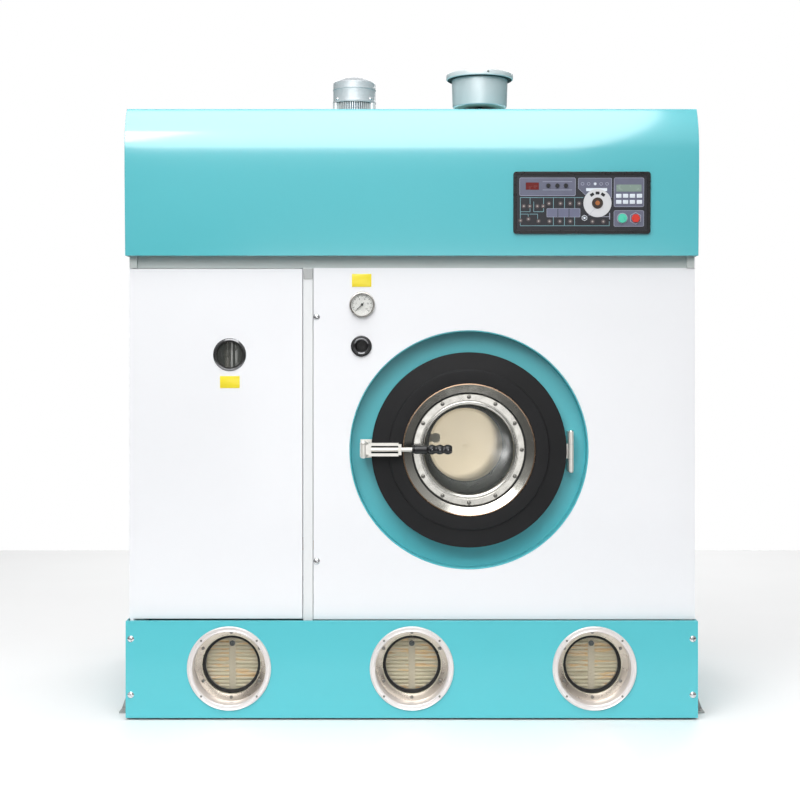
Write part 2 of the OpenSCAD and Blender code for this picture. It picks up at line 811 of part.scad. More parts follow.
module door_hinge_bracket() color("#c9cccc")
    difference() {
        union() {
            for (z = [[knuckle_z0, knuckle_z1 - knuckle_gap], [knuckle_z2 + knuckle_gap, knuckle_z3]]) {
                rod_z(hinge_x, hinge_y, z, hinge_r);
                block([hinge_x - hinge_r, hinge_x + hinge_r], [hinge_y, recess_y], z);
            }
            block([hinge_x - hinge_r, hinge_x + hinge_r], [recess_y - 6, recess_y], [knuckle_z0, knuckle_z3]);
        }
        rod_z(hinge_x, hinge_y, [knuckle_z0 - cut, knuckle_z3 + cut], hinge_pin_r);
    }

module door_hinge_pin() color(steel)
    turned_z(hinge_x, hinge_y, [
        [0, knuckle_z0 - 3], [hinge_pin_r + 2, knuckle_z0 - 3], [hinge_pin_r + 2, knuckle_z0],
        [hinge_pin_r, knuckle_z0], [hinge_pin_r, knuckle_z3], [hinge_pin_r + 2, knuckle_z3],
        [hinge_pin_r + 1, knuckle_z3 + 3], [0, knuckle_z3 + 3]]);

// Stop and striker that the lever's bracket closes against
module latch_keeper() color("#c9cccc") {
    block([lever_x - 9, lever_x + 15], [disc_back_y + seat_c, recess_y], [lever_z - 10, lever_z + 10]);
    block([lever_x - 9, lever_x + 15], [recess_y - 4, recess_y], [lever_z - 24, lever_z + 24]);
}

// ---- Loading door ----

module door_disc() color(black)
    turned_y(door_x, door_z, [
        [collar_in_r + 4, disc_back_y], [disc_r - 3, disc_back_y], [disc_r, disc_back_y - 3],
        [disc_r, disc_y + 3], [disc_r - 1, disc_y + 1], [disc_r - 3, disc_y],
        [disc_step_r + 3, disc_y], [disc_step_r, step_y],
        [collar_r, step_y + 2], [collar_r, collar_y + 3], [collar_in_r + 4, disc_y + 19]]);

module door_collar() color("#d9dcdc")
    turned_y(door_x, door_z, [
        [collar_r - 3, collar_y + 0.4], [collar_r - seat_c, collar_y + 1],
        [collar_r - seat_c, collar_y + 3 - seat_c],
        [collar_in_r + 4 - seat_c, disc_y + 19 - seat_c], [collar_in_r + 4 - seat_c, disc_back_y + 4],
        [ring_in_r + 3, disc_back_y + 4], [ring_in_r + 3, glass_back_y + seat_c],
        [ring_bolt_pcd_r - 4, glass_back_y + seat_c], [ring_bolt_pcd_r - 4, ring_back_y + seat_c],
        [collar_in_r, ring_back_y + seat_c], [collar_in_r, disc_y + 14]]);

module door_ring() color("#e2e4e4")
    turned_y(door_x, door_z, [
        [ring_in_r, glass_y - 3], [ring_in_r + 2, ring_y + 3], [ring_in_r + 6, ring_y - 1],
        [ring_in_r + 11, ring_y + 1], [ring_in_r + 13, ring_y], [ring_r, ring_y],
        [ring_r, ring_back_y], [ring_in_r + 4, ring_back_y],
        [ring_in_r + 4, glass_y - seat_c], [ring_in_r, glass_y - seat_c]]);

module door_glass() color("#e6eeea", 0.35)
    rod_y(door_x, door_z, [glass_y, glass_back_y], glass_r);

module door_bolts() color(steel)
    for (i = [0:ring_bolt_n - 1]) {
        a = 90 + 360 / ring_bolt_n * i;
        hex_bolt_y(door_x + ring_bolt_pcd_r * cos(a), ring_y - 4, door_z + ring_bolt_pcd_r * sin(a), 4.5, 4);
    }

// Steel fittings of the door: the hinge leaf and the lever's clevis
module door_brackets() color("#c9cccc") {
    leaf_y = disc_back_y + 6;
    difference() {
        union() {
            rod_z(hinge_x, hinge_y, [knuckle_z1, knuckle_z2], hinge_r);
            block([door_x + disc_r - 30, hinge_x], [disc_back_y, leaf_y], [knuckle_z1, knuckle_z2]);
            block([hinge_x - hinge_r, hinge_x], [hinge_y, leaf_y], [knuckle_z1, knuckle_z2]);
        }
        rod_z(hinge_x, hinge_y, [knuckle_z0, knuckle_z3], hinge_pin_r + run_c);
    }
    ear = lever_block / 2 + 4;
    plate_x1 = door_x - disc_r + 5;
    difference() {
        union() {
            difference() {
                block([lever_x - 10, plate_x1], [disc_back_y - 6, disc_back_y],
                      [lever_z - ear - 8, lever_z + ear + 8]);
                rod_y(door_x, door_z, [disc_y - cut, disc_back_y + cut], disc_r);
            }
            for (sz = [-1, 1]) {
                z = sz > 0 ? [lever_z + lever_block / 2 + 1, lever_z + ear]
                           : [lever_z - ear, lever_z - lever_block / 2 - 1];
                block([lever_x - 10, lever_x + 10], [lever_y, disc_back_y - 3], z);
                rod_z(lever_x, lever_y, z, 10);
            }
        }
        rod_z(lever_x, lever_y, [lever_z - 2 * ear, lever_z + 2 * ear], lever_pin_r + run_c);
    }
}

module latch_arm() color("#d2d5d5") {
    half = lever_block / 2;
    ear = half + 4;
    x0 = lever_x + half;
    rod_z(lever_x, lever_y, [lever_z - half, lever_z + half], 10);
    block([lever_x, x0 + 2], [lever_y - 7, lever_y + 7], [lever_z - half, lever_z + half]);
    // Pin with two domed heads
    turned_z(lever_x, lever_y, [
        [0, lever_z - ear - 7], [lever_head_r * 0.6, lever_z - ear - 6], [lever_head_r, lever_z - ear - 0.5],
        [lever_pin_r, lever_z - ear - 0.5], [lever_pin_r, lever_z + ear + 0.5],
        [lever_head_r, lever_z + ear + 0.5], [lever_head_r * 0.6, lever_z + ear + 6],
        [0, lever_z + ear + 7]]);
    // Two side rails of the channel, the cross collar and the rod between them
    for (sz = [-1, 1]) {
        z = sz > 0 ? [lever_z + channel_h / 2 - 8, lever_z + channel_h / 2]
                   : [lever_z - channel_h / 2, lever_z + 8 - channel_h / 2];
        block([x0 + 1, rod_x0], [lever_y - 6, lever_y + 6], z);
    }
    block([x0 + 1, x0 + 7], [lever_y - 6, lever_y + 6],
          [lever_z - channel_h / 2, lever_z + channel_h / 2]);
    block([rod_x0 - 1, rod_x0 + 8], [lever_y - 8, lever_y + 8], [lever_z - 15, lever_z + 15]);
    rod_x(lever_y, lever_z, [x0 + 2, grip_x0 + 40], lever_rod_r);
}

module latch_grip() color(black)
    translate([grip_x0, lever_y, lever_z]) rotate([0, 90, 0])
        rotate_extrude() polygon(concat(
            [[lever_rod_r + run_c, 0], [grip_r * 0.8, 0], [grip_r * 0.86, 3], [grip_r * 0.9, grip_len * 0.38]],
            [for (b = [0:2], i = [0:4]) let (s = grip_len * 0.2, z0 = grip_len * 0.4 + b * s)
                [grip_r * (0.82 + 0.18 * sin(180 * i / 4)), z0 + (s - 1) * i / 4]],
            [[0, grip_len], [0, 40], [lever_rod_r + run_c, 40]]));

// ---- Service door ----

door2_x0 = -side_x + 2;
door2_x1 = post_x - panel_gap;
door2_z0 = panel_z0 + 2;
door2_z1 = panel_z1 - panel_gap;
door2_fold = 12;

module service_door() color(white) {
    difference() {
        union() {
            block([door2_x0, door2_x1], [front_y, panel_back_y], [door2_z0, door2_z1]);
            difference() {
                block([door2_x0 + 1, door2_x1], [front_y + 1, panel_back_y + door2_fold],
                      [door2_z0, door2_z1]);
                block([door2_x0 + sheet, door2_x1 - sheet], [panel_back_y, panel_back_y + door2_fold + cut],
                      [door2_z0 + sheet, door2_z1 - sheet]);
            }
        }
        rod_y(sight_x, sight_z, [front_y - cut, panel_back_y + cut], sight_in_r + 2);
    }
    rod_z(pivot_x, pivot_y, [door2_z1 - 1, panel_z1 + 10], pivot_r);
    rod_z(pivot_x, pivot_y, [base_h - 12, door2_z0 + 1], pivot_r);
    rod_z(pivot_x, pivot_y, [base_h - 1 + seat_c, door2_z0 + 1], pivot_r + 2);
}

module sight_ring() color(black)
    turned_y(sight_x, sight_z, [
        [sight_in_r, front_y - 2], [sight_in_r + 3, front_y - 4], [sight_r - 2, front_y - 4],
        [sight_r, front_y - 2], [sight_r, front_y], [sight_in_r + 2 - seat_c, front_y],
        [sight_in_r + 2 - seat_c, panel_back_y + 2], [sight_in_r, panel_back_y + 2]]);

// ---- Drum ----

module drum() color("#cfd2d2") {
    out_r = drum_r + drum_wall;
    shell_y = [drum_y0 + drum_wall + seat_c, drum_y1 - drum_wall - seat_c];
    // Front ring, shell and back ring
    ring_y_axis(door_x, door_z, [drum_y0, drum_y0 + drum_wall], drum_mouth_r, out_r);
    ring_y_axis(door_x, door_z, shell_y, drum_r, out_r);
    ring_y_axis(door_x, door_z, [drum_y1 - drum_wall, drum_y1], hub_back_r + seat_c, out_r);
    // Hollow hub cone round the shaft's sleeve
    turned_y(door_x, door_z, [
        [shaft_r, hub_y], [hub_r, hub_y], [hub_r + 5, hub_y + 3],
        [hub_back_r, drum_y1 - drum_wall], [hub_back_r, drum_y1], [hub_back_r - 12, drum_y1],
        [hub_r - 10, hub_y + 12], [shaft_r + 20, hub_y + 12], [shaft_r + 20, drum_y1], [shaft_r, drum_y1]]);
    for (i = [0:lifter_n - 1])
        translate([door_x, 0, door_z]) rotate([0, 45 + 360 / lifter_n * i, 0])
            intersection() {
                block([drum_r - lifter_h, drum_r], shell_y, [-lifter_w / 2, lifter_w / 2]);
                rod_y(0, 0, shell_y, drum_r - seat_c);
            }
}

module drum_shaft() color(steel)
    rod_y(door_x, door_z, [hub_y, pulley_y1 + 12], shaft_r);

module hub_cover() color("#d0c8b4")
    turned_y(door_x, door_z, [[0, hub_y - 6], [hub_r - 8, hub_y - 5], [hub_r - 1, hub_y - 2],
                              [hub_r, hub_y], [0, hub_y]]);

module pulley(x, z, r)
    difference() {
        union() {
            rod_y(x, z, [pulley_y0, pulley_y1], r);
            rod_y(x, z, [pulley_y0, pulley_y0 + 3], r + 5);
            rod_y(x, z, [pulley_y1 - 3, pulley_y1], r + 5);
        }
        children();
    }

module drum_pulley() color(grey)
    pulley(door_x, door_z, drum_pulley_r) {
        rod_y(door_x, door_z, [pulley_y0 - cut, pulley_y1 + cut], shaft_r);
        for (i = [0:4])
            translate([door_x, 0, door_z]) rotate([0, 72 * i, 0])
                rod_y(drum_pulley_r * 0.6, 0, [pulley_y0 - cut, pulley_y1 + cut], drum_pulley_r * 0.24);
    }

motor_shaft_r = 12;

module motor_pulley() color(grey) {
    pulley(motor_x, motor_z, motor_pulley_r) { }
    rod_y(motor_x, motor_z, [motor_y1 - 40, pulley_y0 + 1], motor_shaft_r);
}

housing_flange_h = 180;
housing_flange_t = 12;

module bearing_housing() color(grey)
    difference() {
        union() {
            rod_y(door_x, door_z, [housing_y0, housing_y1], housing_r);
            block([door_x - upright_dx - tube / 2, door_x + upright_dx + tube / 2],
                  [rear_post_y1, rear_post_y1 + housing_flange_t],
                  [door_z - housing_flange_h / 2, door_z + housing_flange_h / 2]);
        }
        rod_y(door_x, door_z, [housing_y0 - cut, housing_y1 + cut], shaft_r + 6);
        rod_y(door_x, door_z, [housing_y0 - cut, housing_y0 + bearing_w], bearing_r);
        rod_y(door_x, door_z, [housing_y1 - bearing_w, housing_y1 + cut], bearing_r);
    }

module drum_bearings() color("#aeb2b4")
    for (y = [housing_y0, housing_y1 - bearing_w])
        ring_y_axis(door_x, door_z, [y, y + bearing_w], shaft_r + run_c, bearing_r);

module drive_motor() color("#5f7680")
    difference() {
        union() {
            rod_y(motor_x, motor_z, [motor_y0, motor_y1], motor_r);
            rod_y(motor_x, motor_z, [motor_y0 - 40, motor_y0 + 1], motor_r - 6);
            block([motor_x - motor_r + 4, motor_x + motor_r - 4], [motor_y0 + 20, motor_y1 - 20],
                  [mid_z1, motor_z - motor_r / 2]);
        }
        rod_y(motor_x, motor_z, [motor_y1 - 45, motor_y1 + cut], motor_shaft_r + run_c);
    }

// Outline of a belt round two pulleys: points on each arc between the tangents
function belt_outline(d, a, r1, r2) =
    let (b = acos((r1 - r2) / d))
    concat([for (i = [0:60]) let (t = a + b + (360 - 2 * b) * i / 60) [r1 * cos(t), r1 * sin(t)]],
           [for (i = [0:30]) let (t = a - b + 2 * b * i / 30)
                [d * cos(a) + r2 * cos(t), d * sin(a) + r2 * sin(t)]]);

module drive_belt() color(black) {
    dz = door_z - motor_z;
    d = norm([motor_dx, dz]);
    a = atan2(dz, motor_dx);
    r1 = drum_pulley_r + belt_c;
    r2 = motor_pulley_r + belt_c;
    face_back(door_x, belt_y - belt_w / 2, door_z)
        linear_extrude(belt_w)
            difference() {
                polygon(belt_outline(d, a, r1 + belt_t, r2 + belt_t));
                polygon(belt_outline(d, a, r1, r2));
            }
}

// ---- Roof group and air circuit ----

module fan_motor() color("#b4b9bb")
    difference() {
        union() {
            rod_z(fan_x, fan_y, [roof_z, roof_z + 10], cowl_r + 12);
            rod_z(fan_x, fan_y, [roof_z + 9, cowl_z0 + 10], cowl_r - 12);
            for (i = [0:23])
                translate([fan_x, fan_y, roof_z + 9]) rotate([0, 0, 15 * i])
                    translate([cowl_r - 16, -1.5, 0]) cube([12, 3, fan_motor_h - 14]);
        }
        rod_z(fan_x, fan_y, [roof_z - cut, roof_z + 70], fan_shaft_r + run_c);
    }

module fan_cowl() color("#d3d6d7")
    turned_z(fan_x, fan_y, [
        [cowl_r, cowl_z0], [cowl_r, cowl_z0 + cowl_h * 0.62], [cowl_r - 4, cowl_z0 + cowl_h * 0.78],
        [cowl_r - 14, cowl_z0 + cowl_h * 0.93], [cowl_r - 26, cowl_z0 + cowl_h], [0, cowl_z0 + cowl_h],
        [0, cowl_z0 + 10], [cowl_r - 12, cowl_z0 + 10], [cowl_r - 12, cowl_z0 + 6],
        [cowl_r - 3, cowl_z0 + 6], [cowl_r - 3, cowl_z0]]);

duct_port_r = 60;
duct_port_y = -160;
duct_x0 = door_x + tub_r + 26;
duct_x1 = post_x0 - 6;
duct_y0 = -290;
duct_y1 = rear_post_y0 - 4;

module duct_boxes(i) {
    // Coil chamber beside the tub, riser, cross duct under the roof, fan housing
    block([duct_x0 + i, duct_x1 - i], [duct_y0 + i, duct_y1 - i], [door_z - 240 + i, hood_z - 60 - i]);
    block([duct_x0 + i, duct_x1 - i], [-150 + i, duct_y1 - i], [hood_z - 70 - i, duct_z1 - i]);
    block([fan_x - 120 + i, duct_x1 - i], [-150 + i, duct_y1 - i], [duct_z0 + i, duct_z1 - i]);
    block([fan_x - 120 + i, fan_x + 120 - i], [-150 + i, fan_y + 120 - i], [duct_z0 + i, duct_z1 - i]);
    rod_z(fan_x, fan_y, [fan_z0 + i, fan_z1 - i], fan_housing_r - i);
}

module air_duct() color("#a9b0b2")
    difference() {
        union() {
            duct_boxes(0);
            rod_x(duct_port_y, door_z, [door_x + tub_r, duct_x0 + 1], duct_port_r + 12);
        }
        duct_boxes(duct_wall);
        rod_z(fan_x, fan_y, [fan_z0 - cut, fan_z0 + cut], 90);
        rod_z(fan_x, fan_y, [fan_z1 - cut, fan_z1 + cut], fan_shaft_r + 3);
        rod_x(duct_port_y, door_z, [door_x + tub_r - 20, duct_x0 + 10], duct_port_r);
        rod_y(door_x, door_z, [tub_y0 - cut, tub_back_y + cut], tub_r + tub_wall);
    }

impeller_r = fan_housing_r - 50;
impeller_in_r = impeller_r - 30;
impeller_h = 120;
blade_t = 16;
impeller_z0 = fan_z0 + 20;
impeller_z1 = impeller_z0 + impeller_h;
blade_n = 24;

// Squirrel-cage wheel: windows between the blades, a closed top disc, hub and shaft
module fan_impeller() color(steel) {
    difference() {
        rod_z(fan_x, fan_y, [impeller_z0, impeller_z1], impeller_r);
        rod_z(fan_x, fan_y, [impeller_z0 - cut, impeller_z1 - 8], impeller_in_r);
        for (i = [0:blade_n - 1])
            translate([fan_x, fan_y, impeller_z0 + 10]) rotate([0, 0, 360 / blade_n * i])
                translate([impeller_in_r - 8, -blade_t / 2, 0]) cube([50, blade_t, impeller_h - 28]);
    }
    rod_z(fan_x, fan_y, [impeller_z1 - 40, roof_z + 60], fan_shaft_r);
    rod_z(fan_x, fan_y, [impeller_z1 - 50, impeller_z1 - 1], fan_shaft_r + 20);
}

module canister() color("#c5d0d4") {
    z0 = roof_z + riser_h;
    z1 = z0 + canister_h;
    turned_z(canister_x, canister_y, [
        [0, roof_z], [riser_r, roof_z], [riser_r, z0], [canister_r - 8, z0], [canister_r - 3, z0 + 5],
        [canister_r, z1], [canister_rim_r, z1], [canister_rim_r, z1 + lid_h - 6],
        [canister_rim_r - 8, z1 + lid_h], [0, z1 + lid_h]]);
}

// ---- Front instruments ----

gauge_body_r = gauge_r - 4;
socket_body_r = socket_r - 6;

module gauge_case() color("#a49f98")
    turned_y(gauge_x, gauge_z, [
        [0, front_y - 2], [gauge_r - 5, front_y - 2], [gauge_r - 5, front_y - gauge_proud],
        [gauge_r - 1, front_y - gauge_proud], [gauge_r, front_y - gauge_proud + 2],
        [gauge_r, front_y], [gauge_body_r, front_y], [gauge_body_r, panel_back_y + 30],
        [8, panel_back_y + 30], [8, panel_back_y + 48], [0, panel_back_y + 48]]);

needle_y = front_y - 7;

module gauge_needle() color(black)
    translate([gauge_x, needle_y, gauge_z]) rotate([0, 135, 0]) {
        rod_y(0, 0, [0, 4.5], 3.5);
        translate([-8, 1, -0.8]) cube([8, 1, 1.6]);
        rotate([-90, 0, 0]) linear_extrude(1)
            polygon([[0, -1.2], [gauge_r - 10, -0.4], [gauge_r - 10, 0.4], [0, 1.2]]);
    }

module sample_socket() color(black)
    turned_y(socket_x, socket_z, [
        [socket_bore_r, front_y - 3], [socket_bore_r + 3, front_y - 7], [socket_r - 3, front_y - 7],
        [socket_r, front_y - 4], [socket_r, front_y], [socket_body_r, front_y],
        [socket_body_r, panel_back_y + 40], [0, panel_back_y + 40],
        [0, panel_back_y + 34], [socket_bore_r, panel_back_y + 34]]);

// ---- Console ----

module at_console(x = 0, z = 0)
    on_hood() translate([console_x + x, console_y0, console_z + z]) children();

module button_holes(r)
    for (x = [start_x, stop_x])
        at_console(x, button_z) rotate([-90, 0, 0]) translate([0, 0, -cut])
            cylinder(r = r, h = bezel_t + 30);

module console_frame() color(black)
    difference() {
        union() {
            difference() {
                at_console() rounded_plate(console_w, console_h, bezel_t, 8);
                at_console(0, bezel) translate([-console_w / 2 + bezel, -cut, 0])
                    cube([console_w - 2 * bezel, cut + 2 + face_t, console_h - 2 * bezel]);
            }
            at_console(0, bezel + 1) translate([-console_w / 2 + bezel + 1, 2 + face_t, 0])
                cube([console_w - 2 * bezel - 2, console_box_d, console_h - 2 * bezel - 2]);
        }
        button_holes(button_stem_r + seat_c);
    }

module console_face() color("#3a3b46")
    difference() {
        at_console(0, bezel) translate([-console_w / 2 + bezel + seat_c, 2, seat_c])
            cube([console_w - 2 * bezel - 2 * seat_c, face_t, console_h - 2 * bezel - 2 * seat_c]);
        button_holes(button_stem_r + seat_c);
    }

// Push button: cap, and a stem that slides in the console
module push_button(x, sides)
    at_console(x, button_z) rotate([-90, 0, 0]) {
        translate([0, 0, -3]) cylinder(r = button_r, h = 5 - button_travel - 0.5, $fn = sides);
        translate([0, 0, -1]) cylinder(r = button_stem_r, h = 22);
    }

module start_button() color("#52c9a4") push_button(start_x, 96);
module stop_button() color("#cf3b33") push_button(stop_x, 6);

// ---- Plant ----

module button_trap() color("#9fa6a8") {
    x = [door_x + trap_dx[0], door_x + trap_dx[1]];
    difference() {
        block(x, trap_y, [tank_z1, door_z - tub_r / 2]);
        rod_y(door_x, door_z, [trap_y[0] - cut, trap_y[1] + cut], tub_r + tub_wall);
        block([x[0] + 20, x[1] - 20], [trap_y[0] + 20, trap_y[1] - 20], [tank_z1 + 10, door_z]);
    }
    rod_y(door_x + trap_dx[1] - 60, tank_z1 + 60, [trap_y[0] - 14, trap_y[0] + 1], 42);
}

pump_y = -190;
pump_z = tank_z1 + 75;
pump_x0 = -290;
pump_x1 = -70;

pump_r = 52;
pump_head_r = 64;
pump_head_w = 70;
pump_foot_w = 90;
pump_port_x = pump_x1 - pump_head_w / 2;
pump_port_z = pump_z + 80;
feed_z = pump_port_z + 30;
nozzle_len = 30;
nozzle_r = pipe_r + 5;

module solvent_pump() color("#4f6d8a") {
    rod_x(pump_y, pump_z, [pump_x0, pump_x1 - pump_head_w], pump_r);
    rod_x(pump_y, pump_z, [pump_x1 - pump_head_w - 1, pump_x1], pump_head_r);
    block([pump_x0 + 20, pump_x1 - 60], [pump_y - pump_foot_w / 2, pump_y + pump_foot_w / 2],
          [tank_z1, pump_z - 20]);
    rod_z(pump_port_x, pump_y, [pump_z, pump_port_z], nozzle_r);
}

still_neck_r = 34;
still_neck_h = 80;
still_dome_h = 60;
still_top_z = tank_z1 + still_h + still_neck_h + 40;

module vessel(x, y, z, h, r, dome)
    turned_z(x, y, concat(
        [[0, z], [r * 0.7, z], [r * 0.7, z + 40], [r - 10, z + 40], [r, z + 50], [r, z + h]],
        [for (i = [1:6]) [r * cos(15 * i), z + h + dome * sin(15 * i)]]));

module filter_vessel() color("#b7bdbf") {
    vessel(bay_x, filter_y, tank_z1, filter_h, filter_r, 46);
    rod_z(bay_x, filter_y, [tank_z1 + filter_h - 40, tank_z1 + filter_h - 16], filter_r + 14);
    rod_x(filter_y, feed_z, [bay_x, bay_x + filter_r + nozzle_len], nozzle_r);
}

module still() color("#b9a58c") {
    vessel(bay_x, still_y, tank_z1, still_h, still_r, still_dome_h);
    rod_z(bay_x, still_y, [still_top_z - still_neck_h, still_top_z], still_neck_r);
}

sep_z0 = sight_z - 130;
return_z = sep_z0 + 60;
sight_tube_y = separator_y - separator_r - 14;

module water_separator() color("#c9cccc") {
    rod_z(sight_x, separator_y, [sep_z0, sep_z0 + separator_h], separator_r);
    rod_z(sight_x, separator_y, [sep_z0 + separator_h - 30, sep_z0 + separator_h - 18], separator_r + 10);
    rod_z(sight_x, separator_y, [mid_z1, sep_z0 + 1], 20);
    rod_z(sight_x, separator_y, [mid_z1, mid_z1 + 8], 32);
    rod_x(separator_y, return_z, [sight_x, sight_x + separator_r + nozzle_len], nozzle_r);
    rod_z(sight_x, sight_tube_y, [sight_z - 70, sight_z + 70], 9);
    for (z = [sight_z - 60, sight_z + 60])
        rod_y(sight_x, z, [sight_tube_y, separator_y - separator_r + 6], 7);
}

compressor_x = side_x - 160;
compressor_y = 330;

module compressor() color("#2f3436") {
    turned_z(compressor_x, compressor_y, [
        [0, tank_z1 + 20], [compressor_r, tank_z1 + 20], [compressor_r, tank_z1 + compressor_h - 50],
        [compressor_r * 0.85, tank_z1 + compressor_h - 15],
        [compressor_r * 0.5, tank_z1 + compressor_h], [0, tank_z1 + compressor_h]]);
    for (sx = [-1, 1], sy = [-1, 1])
        rod_z(compressor_x + sx * 60, compressor_y + sy * 60, [tank_z1, tank_z1 + 21], 14);
}

// An elbowed pipe through a list of points
module pipe(points, r) {
    for (i = [0:len(points) - 2]) {
        a = points[i];
        b = points[i + 1];
        d = b - a;
        l = norm(d);
        translate(a) rotate([0, acos(d[2] / l), atan2(d[1], d[0])]) cylinder(r = r, h = l);
    }
    for (i = [1:1:len(points) - 2])
        translate(points[i]) sphere(r = r + 2);
}

vapour_z = sep_z0 + separator_h + 60;
feed_run = 40;
return_run = 45;

module pipework() color("#b88a5a") {
    feed_x = bay_x + filter_r + nozzle_len;
    return_x = sight_x + separator_r + nozzle_len;
    feed_x1 = feed_x + feed_run;
    return_x1 = return_x + return_run;
    return_y = cradle_y1 + 30;
    // Pump to filter
    pipe([[pump_port_x, pump_y, pump_port_z], [pump_port_x, pump_y, feed_z],
          [feed_x1, pump_y, feed_z], [feed_x1, filter_y, feed_z],
          [feed_x, filter_y, feed_z]], pipe_r);
    // Still to separator
    pipe([[bay_x, still_y, still_top_z], [bay_x, still_y, vapour_z],
          [sight_x, separator_y, vapour_z],
          [sight_x, separator_y, sep_z0 + separator_h]], pipe_r);
    // Separator return to the clean tank
    pipe([[return_x, separator_y, return_z], [return_x1, separator_y, return_z],
          [return_x1, return_y, return_z], [return_x1, return_y, tank_z1]], pipe_r);
}

gland_r = 15;

module service_ports() color(steel) {
    for (x = stub_xs)
        difference() {
            union() {
                rod_y(x, stub_z, [rear_y1 - 30, back_y + stub_len], stub_r);
                rod_y(x, stub_z, [back_y, back_y + 8], stub_r + 6);
            }
            rod_y(x, stub_z, [rear_y1 - 20, back_y + stub_len + cut], stub_r - 3.5);
        }
    difference() {
        union() {
            rod_y(gland_x, stub_z, [rear_y1 - 12, back_y + 22], gland_r);
            rod_y(gland_x, stub_z, [back_y, back_y + 8], gland_r + 5);
        }
        rod_y(gland_x, stub_z, [rear_y1 - 20, back_y + 40], gland_bore_r);
    }
}

// ---- Assembly ----

frame_posts();
frame_rails();
foot_brackets();
solvent_tank();
base_cover();
tank_port_flanges();
tank_port_gaskets();
tank_port_glasses();
tank_port_bolts();
top_rail();
main_panel();
side_panels();
back_panel();
hood();
cover_screws();
door_recess();
tub();
door_gasket();
door_hinge_bracket();
door_hinge_pin();
latch_keeper();
bearing_housing();
drum_bearings();
drive_motor();
drive_belt();
button_trap();
solvent_pump();
filter_vessel();
still();
water_separator();
air_duct();
fan_motor();
fan_cowl();
compressor();
canister();
gauge_case();
sample_socket();
console_frame();
console_face();
service_ports();
pipework();
door_disc();
door_collar();
door_ring();
door_glass();
door_bolts();
door_brackets();
latch_arm();
latch_grip();
service_door();
sight_ring();
drum();
drum_shaft();
drum_pulley();
hub_cover();
motor_pulley();
fan_impeller();
gauge_needle();
start_button();
stop_button();
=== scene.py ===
"""Front-loading dry cleaning machine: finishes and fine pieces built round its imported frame."""

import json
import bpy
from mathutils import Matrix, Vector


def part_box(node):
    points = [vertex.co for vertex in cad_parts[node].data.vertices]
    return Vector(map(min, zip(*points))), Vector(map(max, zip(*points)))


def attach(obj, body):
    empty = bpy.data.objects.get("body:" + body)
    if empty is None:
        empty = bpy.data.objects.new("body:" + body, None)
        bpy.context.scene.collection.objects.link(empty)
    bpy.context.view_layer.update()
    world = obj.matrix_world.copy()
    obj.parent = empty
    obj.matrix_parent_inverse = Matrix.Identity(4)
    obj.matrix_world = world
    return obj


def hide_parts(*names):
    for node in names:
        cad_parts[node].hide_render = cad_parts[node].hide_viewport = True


bl_info = {
    "name": "Dry Cleaning Machine",
    "version": (1, 0, 0),
    "blender": (4, 5, 0),
    "location": "3D View > Sidebar > Machine",
    "description": "Dresses the packed dry cleaning machine and sets up its studio",
    "category": "Object",
}

from math import atan2, cos, floor, pi, radians, sin

import bmesh
import bpy
from bpy.props import FloatProperty, FloatVectorProperty, IntProperty, PointerProperty
from mathutils import Matrix, Vector

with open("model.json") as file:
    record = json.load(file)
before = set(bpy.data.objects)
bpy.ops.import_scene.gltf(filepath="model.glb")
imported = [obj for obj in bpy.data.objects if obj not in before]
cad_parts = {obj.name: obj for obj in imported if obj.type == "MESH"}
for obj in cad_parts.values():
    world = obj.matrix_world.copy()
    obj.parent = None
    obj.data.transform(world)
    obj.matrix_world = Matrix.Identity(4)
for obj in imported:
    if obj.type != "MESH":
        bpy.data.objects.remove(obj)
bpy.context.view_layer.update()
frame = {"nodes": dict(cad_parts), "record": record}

MM = 0.001
AXES = {"X": Vector((1, 0, 0)), "Y": Vector((0, 1, 0)), "Z": Vector((0, 0, 1))}
SMOOTH_LIMIT = radians(38)
SHARP = radians(40)
MERGE = 1e-6


def linear(code):
    """A hex sRGB colour as linear red, green and blue."""
    parts = [int(code[i:i + 2], 16) / 255 for i in (1, 3, 5)]
    return tuple(p / 12.92 if p <= 0.04045 else ((p + 0.055) / 1.055) ** 2.4 for p in parts)


def middle(node):
    """A node's centre, in mm."""
    low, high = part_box(node)
    return (low + high) / 2 / MM


def low_of(node):
    """A node's lowest corner, in mm."""
    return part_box(node)[0] / MM


def high_of(node):
    """A node's highest corner, in mm."""
    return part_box(node)[1] / MM


# ---- Shaping ----


def edges_of(verts):
    """The edges that meet the given vertices."""
    return list({edge for vert in verts for edge in vert.link_edges})


def turn_at(x, y, z, angle, axis="Y"):
    """The matrix that turns about an axis and moves to a place in mm."""
    return Matrix.Translation(Vector((x, y, z)) * MM) @ Matrix.Rotation(angle, 4, axis)


def bevel(bm, edges, width, segments):
    """Rounds edges by a width in mm and gives back the new vertices."""
    made = bmesh.ops.bevel(bm, geom=edges, offset=width * MM, offset_type="OFFSET", segments=segments,
                           profile=0.5, affect="EDGES", clamp_overlap=True, material=-1)
    return made["verts"]


def soften(bm, width, segments):
    """Rounds every sharp edge."""
    sharp = [e for e in bm.edges if len(e.link_faces) == 2 and e.calc_face_angle() > SHARP]
    bevel(bm, sharp, width, segments)


